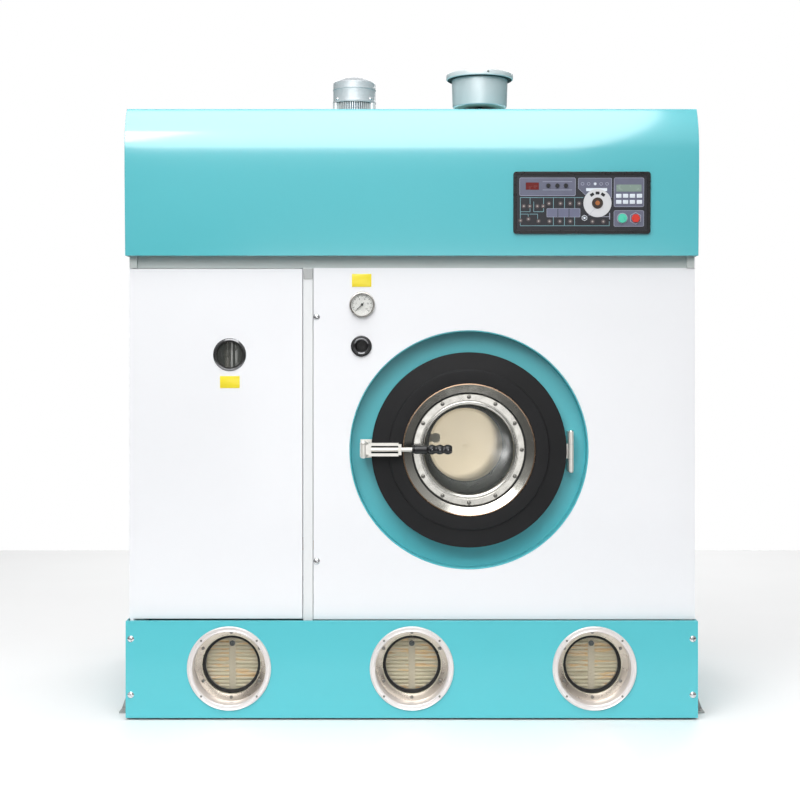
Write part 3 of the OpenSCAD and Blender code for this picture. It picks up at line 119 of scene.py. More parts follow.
def slab(bm, low, high, corner=0, edge=0, along="Y", place=None):
    """A plate from corner to corner in mm, its corners round about one axis, its rims soft."""
    low, high = Vector(low), Vector(high)
    size = Matrix.Diagonal(((high - low) * MM).to_4d())
    at = Matrix.Translation((low + high) / 2 * MM)
    verts = bmesh.ops.create_cube(bm, size=1, matrix=at @ size)["verts"]
    if corner:
        posts = [e for e in edges_of(verts)
                 if abs((e.verts[1].co - e.verts[0].co).normalized().dot(AXES[along])) > 0.9]
        verts = bevel(bm, posts, corner, 5)
    if edge:
        rims = [e for e in edges_of(verts) if e.calc_face_angle() > SHARP]
        verts = list({v for v in bevel(bm, rims, edge, 2)} | {v for v in verts if v.is_valid})
    if place:
        bmesh.ops.transform(bm, matrix=place, verts=verts)
    return verts


def turned(bm, axis, centre, outline, steps, closed=False):
    """Spins an outline of (radius, place along the axis) points, in mm, round an axis.
    The last point joins the first on a closed outline; an open one starts and ends on the axis."""
    along = AXES[axis]
    across = AXES["X"] if axis == "Z" else AXES["Z"]
    centre = Vector(centre) - along * Vector(centre).dot(along)
    verts = [bm.verts.new((centre + across * radius + along * place) * MM) for radius, place in outline]
    pairs = list(zip(verts, verts[1:])) + ([(verts[-1], verts[0])] if closed else [])
    edges = [bm.edges.new(pair) for pair in pairs]
    bmesh.ops.spin(bm, geom=verts + edges, cent=centre * MM, axis=along, dvec=(0, 0, 0),
                   angle=2 * pi, steps=steps, use_merge=True, use_duplicate=False)


def rod(bm, start, end, radius, steps, edge=0):
    """A round bar between two points in mm."""
    start, end = Vector(start), Vector(end)
    turn = (end - start).to_track_quat("Z", "Y").to_matrix().to_4x4()
    place = Matrix.Translation((start + end) / 2 * MM) @ turn
    verts = bmesh.ops.create_cone(bm, cap_ends=True, cap_tris=False, segments=steps, radius1=radius * MM,
                                  radius2=radius * MM, depth=(end - start).length * MM,
                                  matrix=place)["verts"]
    if edge:
        bevel(bm, [e for e in edges_of(verts) if e.calc_face_angle() > radians(60)], edge, 2)


def hex_head(bm, x, y, z, across, height, turn):
    """A hexagon bolt head with a chamfered crown, standing out along -Y from y."""
    place = turn_at(x, y - height / 2, z, turn) @ Matrix.Rotation(pi / 2, 4, "X")
    verts = bmesh.ops.create_cone(bm, cap_ends=True, cap_tris=False, segments=6,
                                  radius1=across / 2 * MM, radius2=across / 2 * MM,
                                  depth=height * MM, matrix=place)["verts"]
    front = min(v.co.y for v in verts)
    crown = [e for e in edges_of(verts) if all(v.co.y < front + MERGE for v in e.verts)]
    bevel(bm, crown, across * 0.09, 2)


def slotted_head(bm, x, y, z, radius, height, turn=0.0):
    """A domed screw head with a real slot, standing out along -Y from y."""
    arcs = [(radius * sin(a), y - height * cos(a)) for a in (radians(d) for d in range(0, 91, 15))]
    half = radius * 0.11
    depth = height * 0.45
    for side in (-1, 1):
        part = bmesh.new()
        turned(part, "Y", (x, 0, z), arcs + [(0, y)], 32)
        bmesh.ops.remove_doubles(part, verts=part.verts, dist=MERGE)
        normal = Matrix.Rotation(turn, 3, "Y") @ Vector((0, 0, side))
        cut = (Vector((x, y, z)) + normal * half) * MM
        made = bmesh.ops.bisect_plane(part, geom=part.verts[:] + part.edges[:] + part.faces[:],
                                      plane_co=cut, plane_no=normal, clear_inner=True)
        rim = [g for g in made["geom_cut"] if isinstance(g, bmesh.types.BMEdge)]
        bmesh.ops.edgeloop_fill(part, edges=rim)
        join(bm, part)
    rod(bm, (x, y, z), (x, y - height + depth, z), radius * 0.8, 20)


def join(bm, part):
    """Adds one bmesh to another and frees it."""
    mesh = bpy.data.meshes.new("part")
    part.to_mesh(mesh)
    part.free()
    bm.from_mesh(mesh)
    bpy.data.meshes.remove(mesh)


def piece(name, bm, finish, replaces=(), body="cabinet", place=None, weighted=False):
    """Turns a bmesh into a named piece that rides on a body and stands for the given nodes."""
    if place:
        bmesh.ops.transform(bm, matrix=place, verts=bm.verts)
    bmesh.ops.remove_doubles(bm, verts=bm.verts, dist=MERGE)
    bmesh.ops.recalc_face_normals(bm, faces=bm.faces)
    mesh = bpy.data.meshes.new(name)
    bm.to_mesh(mesh)
    bm.free()
    mesh.shade_smooth()
    mesh.set_sharp_from_angle(angle=SMOOTH_LIMIT)
    mesh.materials.append(FINISHES[finish])
    thing = bpy.data.objects.new(name, mesh)
    bpy.context.scene.collection.objects.link(thing)
    if weighted:
        thing.modifiers.new("Flat faces", "WEIGHTED_NORMAL").keep_sharp = True
    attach(thing, body)
    if replaces:
        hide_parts(*replaces)


def lathe(name, finish, axis, centre, outline, steps, replaces=(), body="cabinet", closed=False):
    """A piece that is one turned outline."""
    bm = bmesh.new()
    turned(bm, axis, centre, outline, steps, closed)
    piece(name, bm, finish, replaces, body)


def dressed(name, node, finish, width, segments=2, body="cabinet"):
    """A node's own shape with rounded edges; it stands for that node."""
    bm = bmesh.new()
    bm.from_mesh(frame["nodes"][node].data)
    bmesh.ops.remove_doubles(bm, verts=bm.verts, dist=MM / 100)
    bmesh.ops.dissolve_limit(bm, angle_limit=radians(1), use_dissolve_boundaries=False,
                             verts=bm.verts, edges=bm.edges, delimit=set())
    soften(bm, width, segments)
    piece(name, bm, finish, [node], body, weighted=True)


# ---- Finishes ----

FINISHES = {}


def feed(tree, node, values):
    """Sets a node's input sockets, or links them where the value is another node's socket."""
    for key, value in values.items():
        if isinstance(value, bpy.types.NodeSocket):
            tree.links.new(value, node.inputs[key])
        else:
            node.inputs[key].default_value = value


def add(tree, kind, values=None, stops=(), **settings):
    """Adds a shader node with its settings, sockets and, for a colour ramp, its stops."""
    node = tree.nodes.new("ShaderNode" + kind)
    for name, value in settings.items():
        setattr(node, name, value)
    for i, (place, colour) in enumerate(stops):
        element = node.color_ramp.elements[i] if i < 2 else node.color_ramp.elements.new(place)
        element.position = place
        element.color = (*colour[:3], 1)
    feed(tree, node, values or {})
    return node


def start_finish(name):
    """A new material with its tree, its shader and the object coordinates."""
    material = bpy.data.materials.new(name)
    material.use_nodes = True
    tree = material.node_tree
    return material, tree, tree.nodes["Principled BSDF"], add(tree, "TexCoord").outputs["Object"]


def tinted(colour, factor):
    """A linear colour made lighter or darker."""
    return tuple(min(1.0, c * factor) for c in colour[:3])


def clouded(tree, place, colour, size, spread):
    """A colour that drifts a little either way over patches of the given size in mm."""
    cloud = add(tree, "TexNoise", {"Vector": place, "Scale": 1 / (size * MM), "Detail": 3.0})
    return add(tree, "ValToRGB", {"Fac": cloud.outputs["Fac"]},
               [(0.3, tinted(colour, 1 - spread)), (0.7, tinted(colour, 1 + spread))]).outputs["Color"]


def worn_roughness(tree, place, low, high, size):
    """Roughness between two values over patches of the given size in mm."""
    haze = add(tree, "TexNoise", {"Vector": place, "Scale": 1 / (size * MM), "Detail": 4.0})
    return add(tree, "MapRange", {"Value": haze.outputs["Fac"], "From Min": 0.3, "From Max": 0.7,
                                  "To Min": low, "To Max": high}).outputs["Result"]


def grained(name, colour, bump, drift, rough, detail=2.0, extra=None):
    """A finish with a fine bump (size, strength, depth), a slow drift of colour (size, spread)
    and of roughness (low, high, size); sizes and depth are in mm."""
    material, tree, shader, place = start_finish(name)
    size, strength, depth = bump
    grain = add(tree, "TexNoise", {"Vector": place, "Scale": 1 / (size * MM), "Detail": detail})
    relief = add(tree, "Bump", {"Height": grain.outputs["Fac"], "Strength": strength,
                                "Distance": depth * MM})
    feed(tree, shader, {"Base Color": clouded(tree, place, colour, *drift),
                        "Roughness": worn_roughness(tree, place, *rough),
                        "Normal": relief.outputs["Normal"], **(extra or {})})
    return material


def powder_coat(name, colour, rough=0.36, gloss=0.2):
    """Sprayed and baked powder on sheet steel: even, semi-gloss, with a faint orange-peel ripple."""
    # The ripple is about 2 mm across; it is drawn at 5 mm so that it shows
    return grained(name, colour, (5, 0.05, 0.4), (400, 0.006), (rough - 0.02, rough + 0.02, 160),
                   extra={"Coat Weight": gloss, "Coat Roughness": 0.1, "Coat IOR": 1.9})


def satin_enamel(name, colour, rough=0.45, shine=0.5):
    """Stoved enamel: thin, smooth and satin, with a little haze where cloths have rubbed it."""
    return grained(name, colour, (1.2, 0.04, 0.2), (70, 0.05), (rough - 0.05, rough + 0.05, 60),
                   extra={"Specular IOR Level": shine})


def metallic_paint(name, colour, rough=0.4, metal=0.75, worn=0.06):
    """Metal flake in lacquer, or satin plating: a silvery grey with a fine sparkle."""
    material, tree, shader, place = start_finish(name)
    flake = add(tree, "TexVoronoi", {"Vector": place, "Scale": 1 / (1.5 * MM)})
    tone = add(tree, "ValToRGB", {"Fac": flake.outputs["Distance"]},
               [(0.0, tinted(colour, 1 + worn)), (0.8, tinted(colour, 1 - worn))])
    bump = add(tree, "Bump", {"Height": flake.outputs["Distance"], "Strength": 0.04, "Distance": 0.03 * MM})
    feed(tree, shader, {"Base Color": tone.outputs["Color"], "Metallic": metal, "Coat Weight": 0.3,
                        "Roughness": worn_roughness(tree, place, rough - worn, rough + worn, 40),
                        "Normal": bump.outputs["Normal"]})
    return material


def polished_metal(name, colour, rough, centre=None):
    """Polished or plated metal: mirror bright, with hairline marks, turned ones round a given centre."""
    material, tree, shader, place = start_finish(name)
    if centre is None:
        marks = add(tree, "TexNoise", {"Vector": place, "Scale": 1 / (4 * MM), "Detail": 1.0})
    else:
        moved = add(tree, "Mapping", {"Vector": place, "Location": -Vector(centre) * MM})
        flat = add(tree, "VectorMath", {0: moved.outputs["Vector"], 1: (1, 0, 1)}, operation="MULTIPLY")
        radius = add(tree, "VectorMath", {0: flat.outputs["Vector"]}, operation="LENGTH")
        marks = add(tree, "TexNoise", {"W": radius.outputs["Value"], "Scale": 1 / (1.2 * MM),
                                       "Detail": 3.0}, noise_dimensions="1D")
    bump = add(tree, "Bump", {"Height": marks.outputs["Fac"], "Strength": 0.03, "Distance": 0.06 * MM})
    feed(tree, shader, {"Base Color": clouded(tree, place, colour, 60, 0.03), "Metallic": 1.0,
                        "Roughness": worn_roughness(tree, place, rough, rough + 0.08, 25),
                        "Normal": bump.outputs["Normal"]})
    return material


def brushed_steel(name, colour, rough=0.34, grain=(1, 1, 40)):
    """Rolled or brushed sheet: long fine scratches one way and a soft stretched shine."""
    material, tree, shader, place = start_finish(name)
    stretched = add(tree, "Mapping", {"Vector": place, "Scale": grain})
    lines = add(tree, "TexNoise", {"Vector": stretched.outputs["Vector"], "Scale": 1 / (25 * MM),
                                   "Detail": 6.0, "Roughness": 0.7})
    tone = add(tree, "ValToRGB", {"Fac": lines.outputs["Fac"]},
               [(0.3, tinted(colour, 0.9)), (0.7, tinted(colour, 1.08))])
    bump = add(tree, "Bump", {"Height": lines.outputs["Fac"], "Strength": 0.08, "Distance": 0.1 * MM})
    feed(tree, shader, {"Base Color": tone.outputs["Color"], "Metallic": 1.0,
                        "Roughness": worn_roughness(tree, place, rough - 0.05, rough + 0.07, 50),
                        "Normal": bump.outputs["Normal"]})
    return material


def galvanised_sheet(name, colour):
    """Hot-dip zinc on sheet steel: dull grey with a patchwork of spangles about 14 mm across."""
    material, tree, shader, place = start_finish(name)
    spangle = add(tree, "TexVoronoi", {"Vector": place, "Scale": 1 / (14 * MM)})
    shade = add(tree, "SeparateColor", {"Color": spangle.outputs["Color"]})
    tone = add(tree, "ValToRGB", {"Fac": shade.outputs["Red"]},
               [(0.0, tinted(colour, 0.82)), (1.0, tinted(colour, 1.15))])
    rough = add(tree, "MapRange", {"Value": shade.outputs["Green"], "To Min": 0.36, "To Max": 0.56})
    feed(tree, shader, {"Base Color": tone.outputs["Color"], "Metallic": 0.9,
                        "Roughness": rough.outputs["Result"]})
    return material


def cast_metal(name, colour, rough, metallic, grit=2.0):
    """Cast metal: a sandy skin with soft pits about the size of the mould's grit."""
    return grained(name, colour, (grit, 0.25, 0.5), (30, 0.1), (rough - 0.08, rough + 0.08, 20), 5.0,
                   {"Metallic": metallic})


def moulded_plastic(name, colour, rough=0.35):
    """Injection-moulded plastic: even colour and a fine spark-eroded texture."""
    return grained(name, colour, (0.8, 0.06, 0.1), (15, 0.04), (rough - 0.05, rough + 0.05, 12))


def moulded_rubber(name, colour):
    """Moulded rubber: nearly black and dull, with a bloom that greys it in patches."""
    return grained(name, colour, (1.0, 0.15, 0.2), (18, 0.3), (0.6, 0.8, 22), 3.0)


def tempered_glass(name, colour, clear, edge):
    """Flat tempered glass: almost clear face on, greener and more mirror-like at a slant."""
    material, tree, shader, place = start_finish(name)
    slant = add(tree, "LayerWeight", {"Blend": 0.25})
    cover = add(tree, "MapRange", {"Value": slant.outputs["Facing"], "To Min": clear, "To Max": edge})
    feed(tree, shader, {"Base Color": clouded(tree, place, colour, 80, 0.04),
                        "Roughness": worn_roughness(tree, place, 0.02, 0.06, 60),
                        "Alpha": cover.outputs["Result"]})
    return material


def lit_plastic(name, colour, strength):
    """A tinted lens or display with light behind it."""
    material = moulded_plastic(name, colour, 0.25)
    feed(material.node_tree, material.node_tree.nodes["Principled BSDF"],
         {"Emission Color": (*colour, 1), "Emission Strength": strength})
    return material


def perforated_sheet(name, colour, axis_at, radius):
    """Stainless drum sheet with staggered punched holes, drawn at 18 mm pitch so that they show, and painted
    near black as painted shade seen through them.
    """
    pitch, hole = 18.0, 0.27
    material = brushed_steel(name, colour, 0.3, (1, 30, 1))
    tree = material.node_tree
    shader = tree.nodes["Principled BSDF"]
    place = add(tree, "TexCoord").outputs["Object"]
    moved = add(tree, "Mapping", {"Vector": place, "Location": -Vector(axis_at) * MM})
    parts = add(tree, "SeparateXYZ", {"Vector": moved.outputs["Vector"]})
    turn = add(tree, "Math", {0: parts.outputs["X"], 1: parts.outputs["Z"]}, operation="ARCTAN2")
    count = 2 * floor(pi * radius / pitch)
    round_it = add(tree, "Math", {0: turn.outputs["Value"], 1: count / (2 * pi)}, operation="MULTIPLY")
    along = add(tree, "Math", {0: parts.outputs["Y"], 1: 1 / (pitch * MM)}, operation="MULTIPLY")
    grid = add(tree, "CombineXYZ", {"X": round_it.outputs["Value"], "Y": along.outputs["Value"]})
    slanted = add(tree, "Mapping", {"Vector": grid.outputs["Vector"], "Rotation": (0, 0, pi / 4),
                                    "Scale": (1.41421, 1.41421, 1)})
    cell = add(tree, "TexVoronoi", {"Vector": slanted.outputs["Vector"], "Scale": 1.0, "Randomness": 0.0},
               voronoi_dimensions="2D")
    solid = add(tree, "Math", {0: cell.outputs["Distance"], 1: hole}, operation="GREATER_THAN")
    tone = shader.inputs["Base Color"].links[0].from_socket
    # The holes are painted near black: painted shade for the dark tub behind them
    mixed = add(tree, "Mix", {0: solid.outputs["Value"], 6: (*linear("#0b0b0b"), 1), 7: tone},
                data_type="RGBA")
    feed(tree, shader, {"Base Color": mixed.outputs[2]})
    return material


def tube_bank_metal(name):
    """Coil tubes stained by solvent: beige and olive with rusty orange runs, tube by tube."""
    material, tree, shader, place = start_finish(name)
    rows = add(tree, "Mapping", {"Vector": place, "Scale": (6, 1, 55)})
    stain = add(tree, "TexNoise", {"Vector": rows.outputs["Vector"], "Scale": 1.6, "Detail": 4.0})
    tone = add(tree, "ValToRGB", {"Fac": stain.outputs["Fac"]},
               [(0.3, linear("#b0a486")), (0.72, linear("#e6dcc6")), (0.42, linear("#cbc2a4")),
                (0.54, linear("#d8cdb2")), (0.6, linear("#ddb982"))])
    feed(tree, shader, {"Base Color": tone.outputs["Color"], "Metallic": 0.25, "Roughness": 0.5})
    return material


# ---- What a user would change ----


def colour_choice(name, description, code):
    """A colour property that starts from a hex sRGB value."""
    return FloatVectorProperty(name=name, description=description, subtype="COLOR", size=3,
                               min=0.0, max=1.0, default=linear(code))


class CabinetLook(bpy.types.PropertyGroup):
    teal: colour_choice("Teal", "Powder coat of the hood, the base cover and the door recess", "#53bdc7")
    white: colour_choice("White", "Powder coat of the front, side and back panels", "#ecedf0")
    grey: colour_choice("Grey", "Paint of the rail under the hood", "#bcc2c0")
    edge: FloatProperty(name="Edge radius", description="Rounding of the folded sheet edges",
                        default=1.6 * MM, min=0.2 * MM, max=3 * MM, unit="LENGTH", precision=4)


class DoorLook(bpy.types.PropertyGroup):
    enamel: colour_choice("Door enamel", "Enamel of the loading door's disc", "#252526")
    steps: IntProperty(name="Roundness", description="Facets round the door's rings",
                       default=144, min=48, max=256)


class ConsoleLook(bpy.types.PropertyGroup):
    foil: colour_choice("Foil", "Ground colour of the console's printed foil", "#1e1f26")
    lines: colour_choice("Flow lines", "Colour of the printed solvent flow lines", "#86b4be")
    line_width: FloatProperty(name="Line width", description="Width of the printed flow lines",
                              default=1.2 * MM, min=0.5 * MM, max=3 * MM, unit="LENGTH", precision=4)


class StageLook(bpy.types.PropertyGroup):
    floor: colour_choice("Floor", "Colour of the studio floor", "#fbfbfb")
    softbox: FloatProperty(name="Softbox", description="Power of the long softbox over the hood's front",
                           default=172.0, min=0.0, max=2000.0, unit="POWER")
    fill: FloatProperty(name="Fill light", description="Power of the light high up on the left",
                        default=60.0, min=0.0, max=2000.0, unit="POWER")
    back: FloatProperty(name="Back light", description="Power of the softbox behind the machine",
                        default=150.0, min=0.0, max=2000.0, unit="POWER")
    card: FloatProperty(name="Card", description="Power of the low card that the door's steel mirrors",
                        default=23.0, min=0.0, max=200.0, unit="POWER")
    snoot: FloatProperty(name="Snoot", description="Power of the narrow light through the door's glass",
                         default=2600.0, min=0.0, max=9000.0, unit="POWER")
    sky: FloatProperty(name="Room light", description="Strength of the even light all round",
                       default=0.47, min=0.0, max=2.0)


# ---- Operators ----


class MACHINE_OT_finishes(bpy.types.Operator):
    """Makes every finish and puts the record's own on the frame's nodes"""
    bl_idname = "machine.finishes"
    bl_label = "Finishes"

    def execute(self, context):
        cabinet = context.scene.cabinet_look
        door = context.scene.door_look
        console = context.scene.console_look
        hub = middle("door_disc")
        for make, rows in (
                (powder_coat, (
                    ("teal_paint", "Powder coated steel, teal", cabinet.teal, 0.4, 0.1),
                    ("hood_paint", "Gloss powder coated steel, teal", cabinet.teal, 0.3, 1.0),
                    ("white_paint", "Powder coated steel, white", cabinet.white, 0.42),
                    ("grey_paint", "Satin painted steel, grey", cabinet.grey, 0.45),
                    ("frame_paint", "Satin painted steel, off-white", "#e4e6e7", 0.45),
                    ("foot_paint", "Satin painted steel, pale grey", "#9c9f9d", 0.45),
                    # Mid grey for the top of the post: painted shade under the hood
                    ("block_paint", "Satin painted steel, mid grey", "#b4b6b6", 0.45),
                    ("yellow_plate", "Painted aluminium plate, yellow", "#f3df2d", 0.4))),
                (satin_enamel, (
                    ("black_paint", "Satin painted steel, black", "#17171a"),
                    ("can_base", "Primed steel, brown grey", "#c2b8aa", 0.6),
                    ("tube_fill", "Cloudy glass tube", "#66625a", 0.3),
                    ("navy_paint", "Painted sheet steel, navy", "#3b4a66", 0.4),
                    ("black_enamel", "Stoved enamel, black", door.enamel, 0.52, 0.14),
                    ("beige_enamel", "Matt enamel, beige", "#e0cfae", 0.6),
                    ("dial_enamel", "Dial enamel, white", "#f2f2ef", 0.5),
                    ("dial_ink", "Dial print, black", "#1c1c1c", 0.5),
                    ("tube_strap", "Dull tinned strap", "#c9bea6", 0.55))),
                (metallic_paint, (
                    ("silver_paint", "Metallic painted cast aluminium", "#d9dcdc", 0.35, 0.35, 0.02),
                    ("can_silver", "Satin silver painted steel", "#d6dddf", 0.42, 0.35, 0.01),
                    ("lid_silver", "Satin silver painted lid", "#dfe3e4", 0.42, 0.2, 0.01),
                    ("satin_nickel", "Satin nickel plated steel", "#e9e6df", 0.32, 0.4, 0.02),
                    ("trim_steel", "Satin finished stainless steel", "#ebe4e2", 0.3, 0.4, 0.015),
                    ("cowl_aluminium", "Satin anodised aluminium", "#c3c7ca", 0.5, 0.3, 0.01),
                    ("motor_paint", "Hammer painted cast iron, blue grey", "#5a6a78"),
                    ("dial_silver", "Anodised aluminium dial", "#d5d6d9", 0.38, 0.3, 0.02))),
                (polished_metal, (
                    ("polished_steel", "Polished stainless steel", "#c2c0ba", 0.2, hub),
                    ("collar_steel", "Polished stainless steel, spun", "#cfcdc4", 0.15, hub),
                    # Warm copper tint for the door collar's rim: a painted highlight along its edge
                    ("copper_edge", "Heat-tinted stainless edge", "#b89c84", 0.22, hub),
                    ("clamp_steel", "Zinc plated clamp ring", "#c4b9ac", 0.24),
                    ("gold_lip", "Yellow passivated steel", "#dcd5c2", 0.25),
                    ("bright_steel", "Bright zinc plated steel", "#d7d5d2", 0.24),
                    # Darker than the other steel so that small bolt and screw heads read as dark marks:
                    # painted shade
                    ("bolt_steel", "Machined steel", "#86847f", 0.3),
                    ("chrome_screw", "Chrome plated steel", "#d8d8da", 0.12),
                    ("gauge_steel", "Brushed stainless bezel", "#b9b5b0", 0.25),
                    ("brass_fittings", "Machined brass", "#c9a35b", 0.25),
                    ("copper_pipe", "Drawn copper tube", "#c98a62", 0.28),
                    ("dark_nickel", "Black nickel plated steel", "#7a7a7c", 0.15))),
                (brushed_steel, (
                    ("zinc_steel", "Zinc plated steel", "#c4c6c6", 0.4),
                    ("stainless", "Mill finish stainless steel", "#b6b6b4"),
                    ("spun_aluminium", "Spun aluminium", "#c2c6c6", 0.32, (1, 1, 30)))),
                (perforated_sheet, (
                    ("perforated_steel", "Perforated stainless steel", "#a8a8a6", hub, 340),)),
                (galvanised_sheet, (
                    ("galvanised", "Galvanised sheet steel", "#b3b8ba"),)),
                (cast_metal, (
                    ("cast_aluminium", "Die-cast aluminium", "#b0b6b8", 0.45, 0.8),
                    ("cast_iron", "Painted cast iron", "#4d5254", 0.5, 0.2, 3.0))),
                (moulded_rubber, (
                    ("black_rubber", "Moulded rubber, black", "#191919"),)),
                (moulded_plastic, (
                    ("black_plastic", "Moulded nylon, black", "#151517", 0.3),
                    ("knob_black", "Moulded ABS, black", "#1b1b20", 0.3),
                    ("console_foil", "Printed polyester foil", console.foil, 0.38),
                    ("foil_violet", "Printed foil, grey violet", "#63667a", 0.4),
                    ("foil_grey", "Printed foil, mid grey", "#686c84", 0.4),
                    ("foil_pale", "Printed foil, pale grey", "#a2a5b6", 0.4),
                    ("foil_cyan", "Printed foil, pale cyan", console.lines, 0.4),
                    ("key_white", "Domed foil keys, white", "#dfe6ee", 0.35),
                    ("green_plastic", "Moulded ABS, green", "#4fc8ab", 0.3),
                    ("red_plastic", "Moulded ABS, red", "#cf3327", 0.3),
                    ("hub_brown", "Moulded ABS, dark brown", "#33261f", 0.35),
                    ("lamp_bronze", "Printed foil, bronze", "#51484a", 0.4),
                    ("lamp_smoke", "Tinted lens, smoke", "#b3aaa6", 0.25))),
                (lit_plastic, (
                    ("lamp_red", "Seven-segment window, red", "#661512", 0.03),
                    ("lamp_orange", "Lit lens, orange", "#a8683c", 0.04),
                    ("screen_grey", "Liquid crystal screen", "#82948b", 0.04))),
                (tempered_glass, (
                    ("sight_glass", "Clear tempered glass", "#b9beb8", 0.05, 0.5),)),
        ):
            for key, name, colour, *options in rows:
                paint = linear(colour) if isinstance(colour, str) else tuple(colour)
                FINISHES[key] = make(name, paint, *options)
        FINISHES["tube_bank"] = tube_bank_metal("Stained coil tubes")
        for part in frame["record"]["subparts"]:
            mesh = frame["nodes"][part["node"]].data
            mesh.materials.clear()
            mesh.materials.append(FINISHES[part["material_slot"]])
        frame["nodes"]["drum"].data.materials[0] = FINISHES["perforated_steel"]
        return {"FINISHED"}


class MACHINE_OT_stage(bpy.types.Operator):
    """Makes the floor, the lights and the camera at the photograph's viewing angle"""
    bl_idname = "machine.stage"
    bl_label = "Stage"

    # The photograph's camera: level, with its picture shifted so that upright edges stay upright
    LENS, SENSOR, SHIFT = 67.5, 36, (-0.01475, -0.05)
    EYE = (0, -4.748, 1.009)

    def link_aimed(self, context, data, place, aim):
        """Puts a light at a place in metres and turns it towards a point."""
        lamp = bpy.data.objects.new(data.name, data)
        lamp.location = place
        lamp.rotation_euler = (Vector(aim) - Vector(place)).to_track_quat("-Z", "Y").to_euler()
        context.scene.collection.objects.link(lamp)

    def light(self, context, name, place, aim, size, power):
        """A rectangular light aimed at a point, in metres."""
        data = bpy.data.lights.new(name, "AREA")
        data.shape = "RECTANGLE"
        data.size, data.size_y = size
        data.energy = power
        self.link_aimed(context, data, place, aim)

    def snoot(self, context, place, aim, radius, power):
        """A narrow round light that reaches only the door's glass and what is behind it."""
        data = bpy.data.lights.new("snoot", "SPOT")
        data.spot_size = 2 * atan2(radius, (Vector(aim) - Vector(place)).length)
        data.spot_blend = 0.1
        data.shadow_soft_size = 0.012
        data.energy = power
        self.link_aimed(context, data, place, aim)

    def room(self, context, strength):
        """Even room light, dimmer towards the horizon; the camera sees plain white."""
        world = bpy.data.worlds.new("Studio")
        world.use_nodes = True
        tree = world.node_tree
        tree.nodes.clear()
        direction = add(tree, "TexCoord").outputs["Generated"]
        height = add(tree, "SeparateXYZ", {"Vector": direction}).outputs["Z"]
        walls = add(tree, "ValToRGB", {"Fac": height}, [(0.0, linear("#8c8c8c")), (0.5, (1, 1, 1))])
        room = add(tree, "Background", {"Color": walls.outputs["Color"], "Strength": strength})
        white = add(tree, "Background", {"Color": (1, 1, 1, 1), "Strength": 1.0})
        seen = add(tree, "LightPath").outputs["Is Camera Ray"]
        mix = add(tree, "MixShader", {0: seen, 1: room.outputs[0], 2: white.outputs[0]})
        add(tree, "OutputWorld", {"Surface": mix.outputs[0]})
        context.scene.world = world

    def execute(self, context):
        look = context.scene.stage_look
        bm = bmesh.new()
        # The floor ends just under the camera's view, so that polished steel mirrors the dim room there
        front, back, half = -1.36, 3.2, 3.2
        size = Matrix.Diagonal((half, (back - front) / 2, 1, 1))
        bmesh.ops.create_grid(bm, x_segments=1, y_segments=1, size=1,
                              matrix=Matrix.Translation((0, (front + back) / 2, 0)) @ size)
        mesh = bpy.data.meshes.new("floor")
        bm.to_mesh(mesh)
        bm.free()
        mesh.materials.append(powder_coat("Studio floor", tuple(look.floor), 0.6))
        floor_plate = bpy.data.objects.new("floor", mesh)
        context.scene.collection.objects.link(floor_plate)
        # The softbox rises from low in front to right over the hood, so that only its curve mirrors it
        self.light(context, "softbox", (-0.35, -3.55, 3.25), (-0.35, -2.0, -1.15), (2.9, 5.2), look.softbox)
        self.light(context, "fill_light", (-2.6, -5.6, 4.4), (0, -0.4, 0.6), (2.0, 2.0), look.fill)
        self.light(context, "back_light", (0.4, 3.9, 3.9), (0, 0.7, 0.3), (4.5, 2.5), look.back)
        # A card low behind the camera, for the flat steel of the door to mirror
        self.light(context, "card_light", (0.35, -6.4, 0.55), (0.16, -0.5, 0.75), (3.0, 1.2), look.card)
        # It stands far off, so that the glass doesn't mirror it towards the camera
        self.snoot(context, (0.97, -9.5, 0.26), middle("door_glass") * MM, 0.111, look.snoot)
        self.room(context, look.sky)
        data = bpy.data.cameras.new("camera")
        data.lens = self.LENS
        data.sensor_width = self.SENSOR
        data.shift_x, data.shift_y = self.SHIFT
        data.clip_end = 100
        camera = bpy.data.objects.new("camera", data)
        camera.location = self.EYE
        camera.rotation_euler = (pi / 2, 0, 0)
        context.scene.collection.objects.link(camera)
        context.scene.camera = camera
        context.scene.view_settings.view_transform = "Standard"
        return {"FINISHED"}


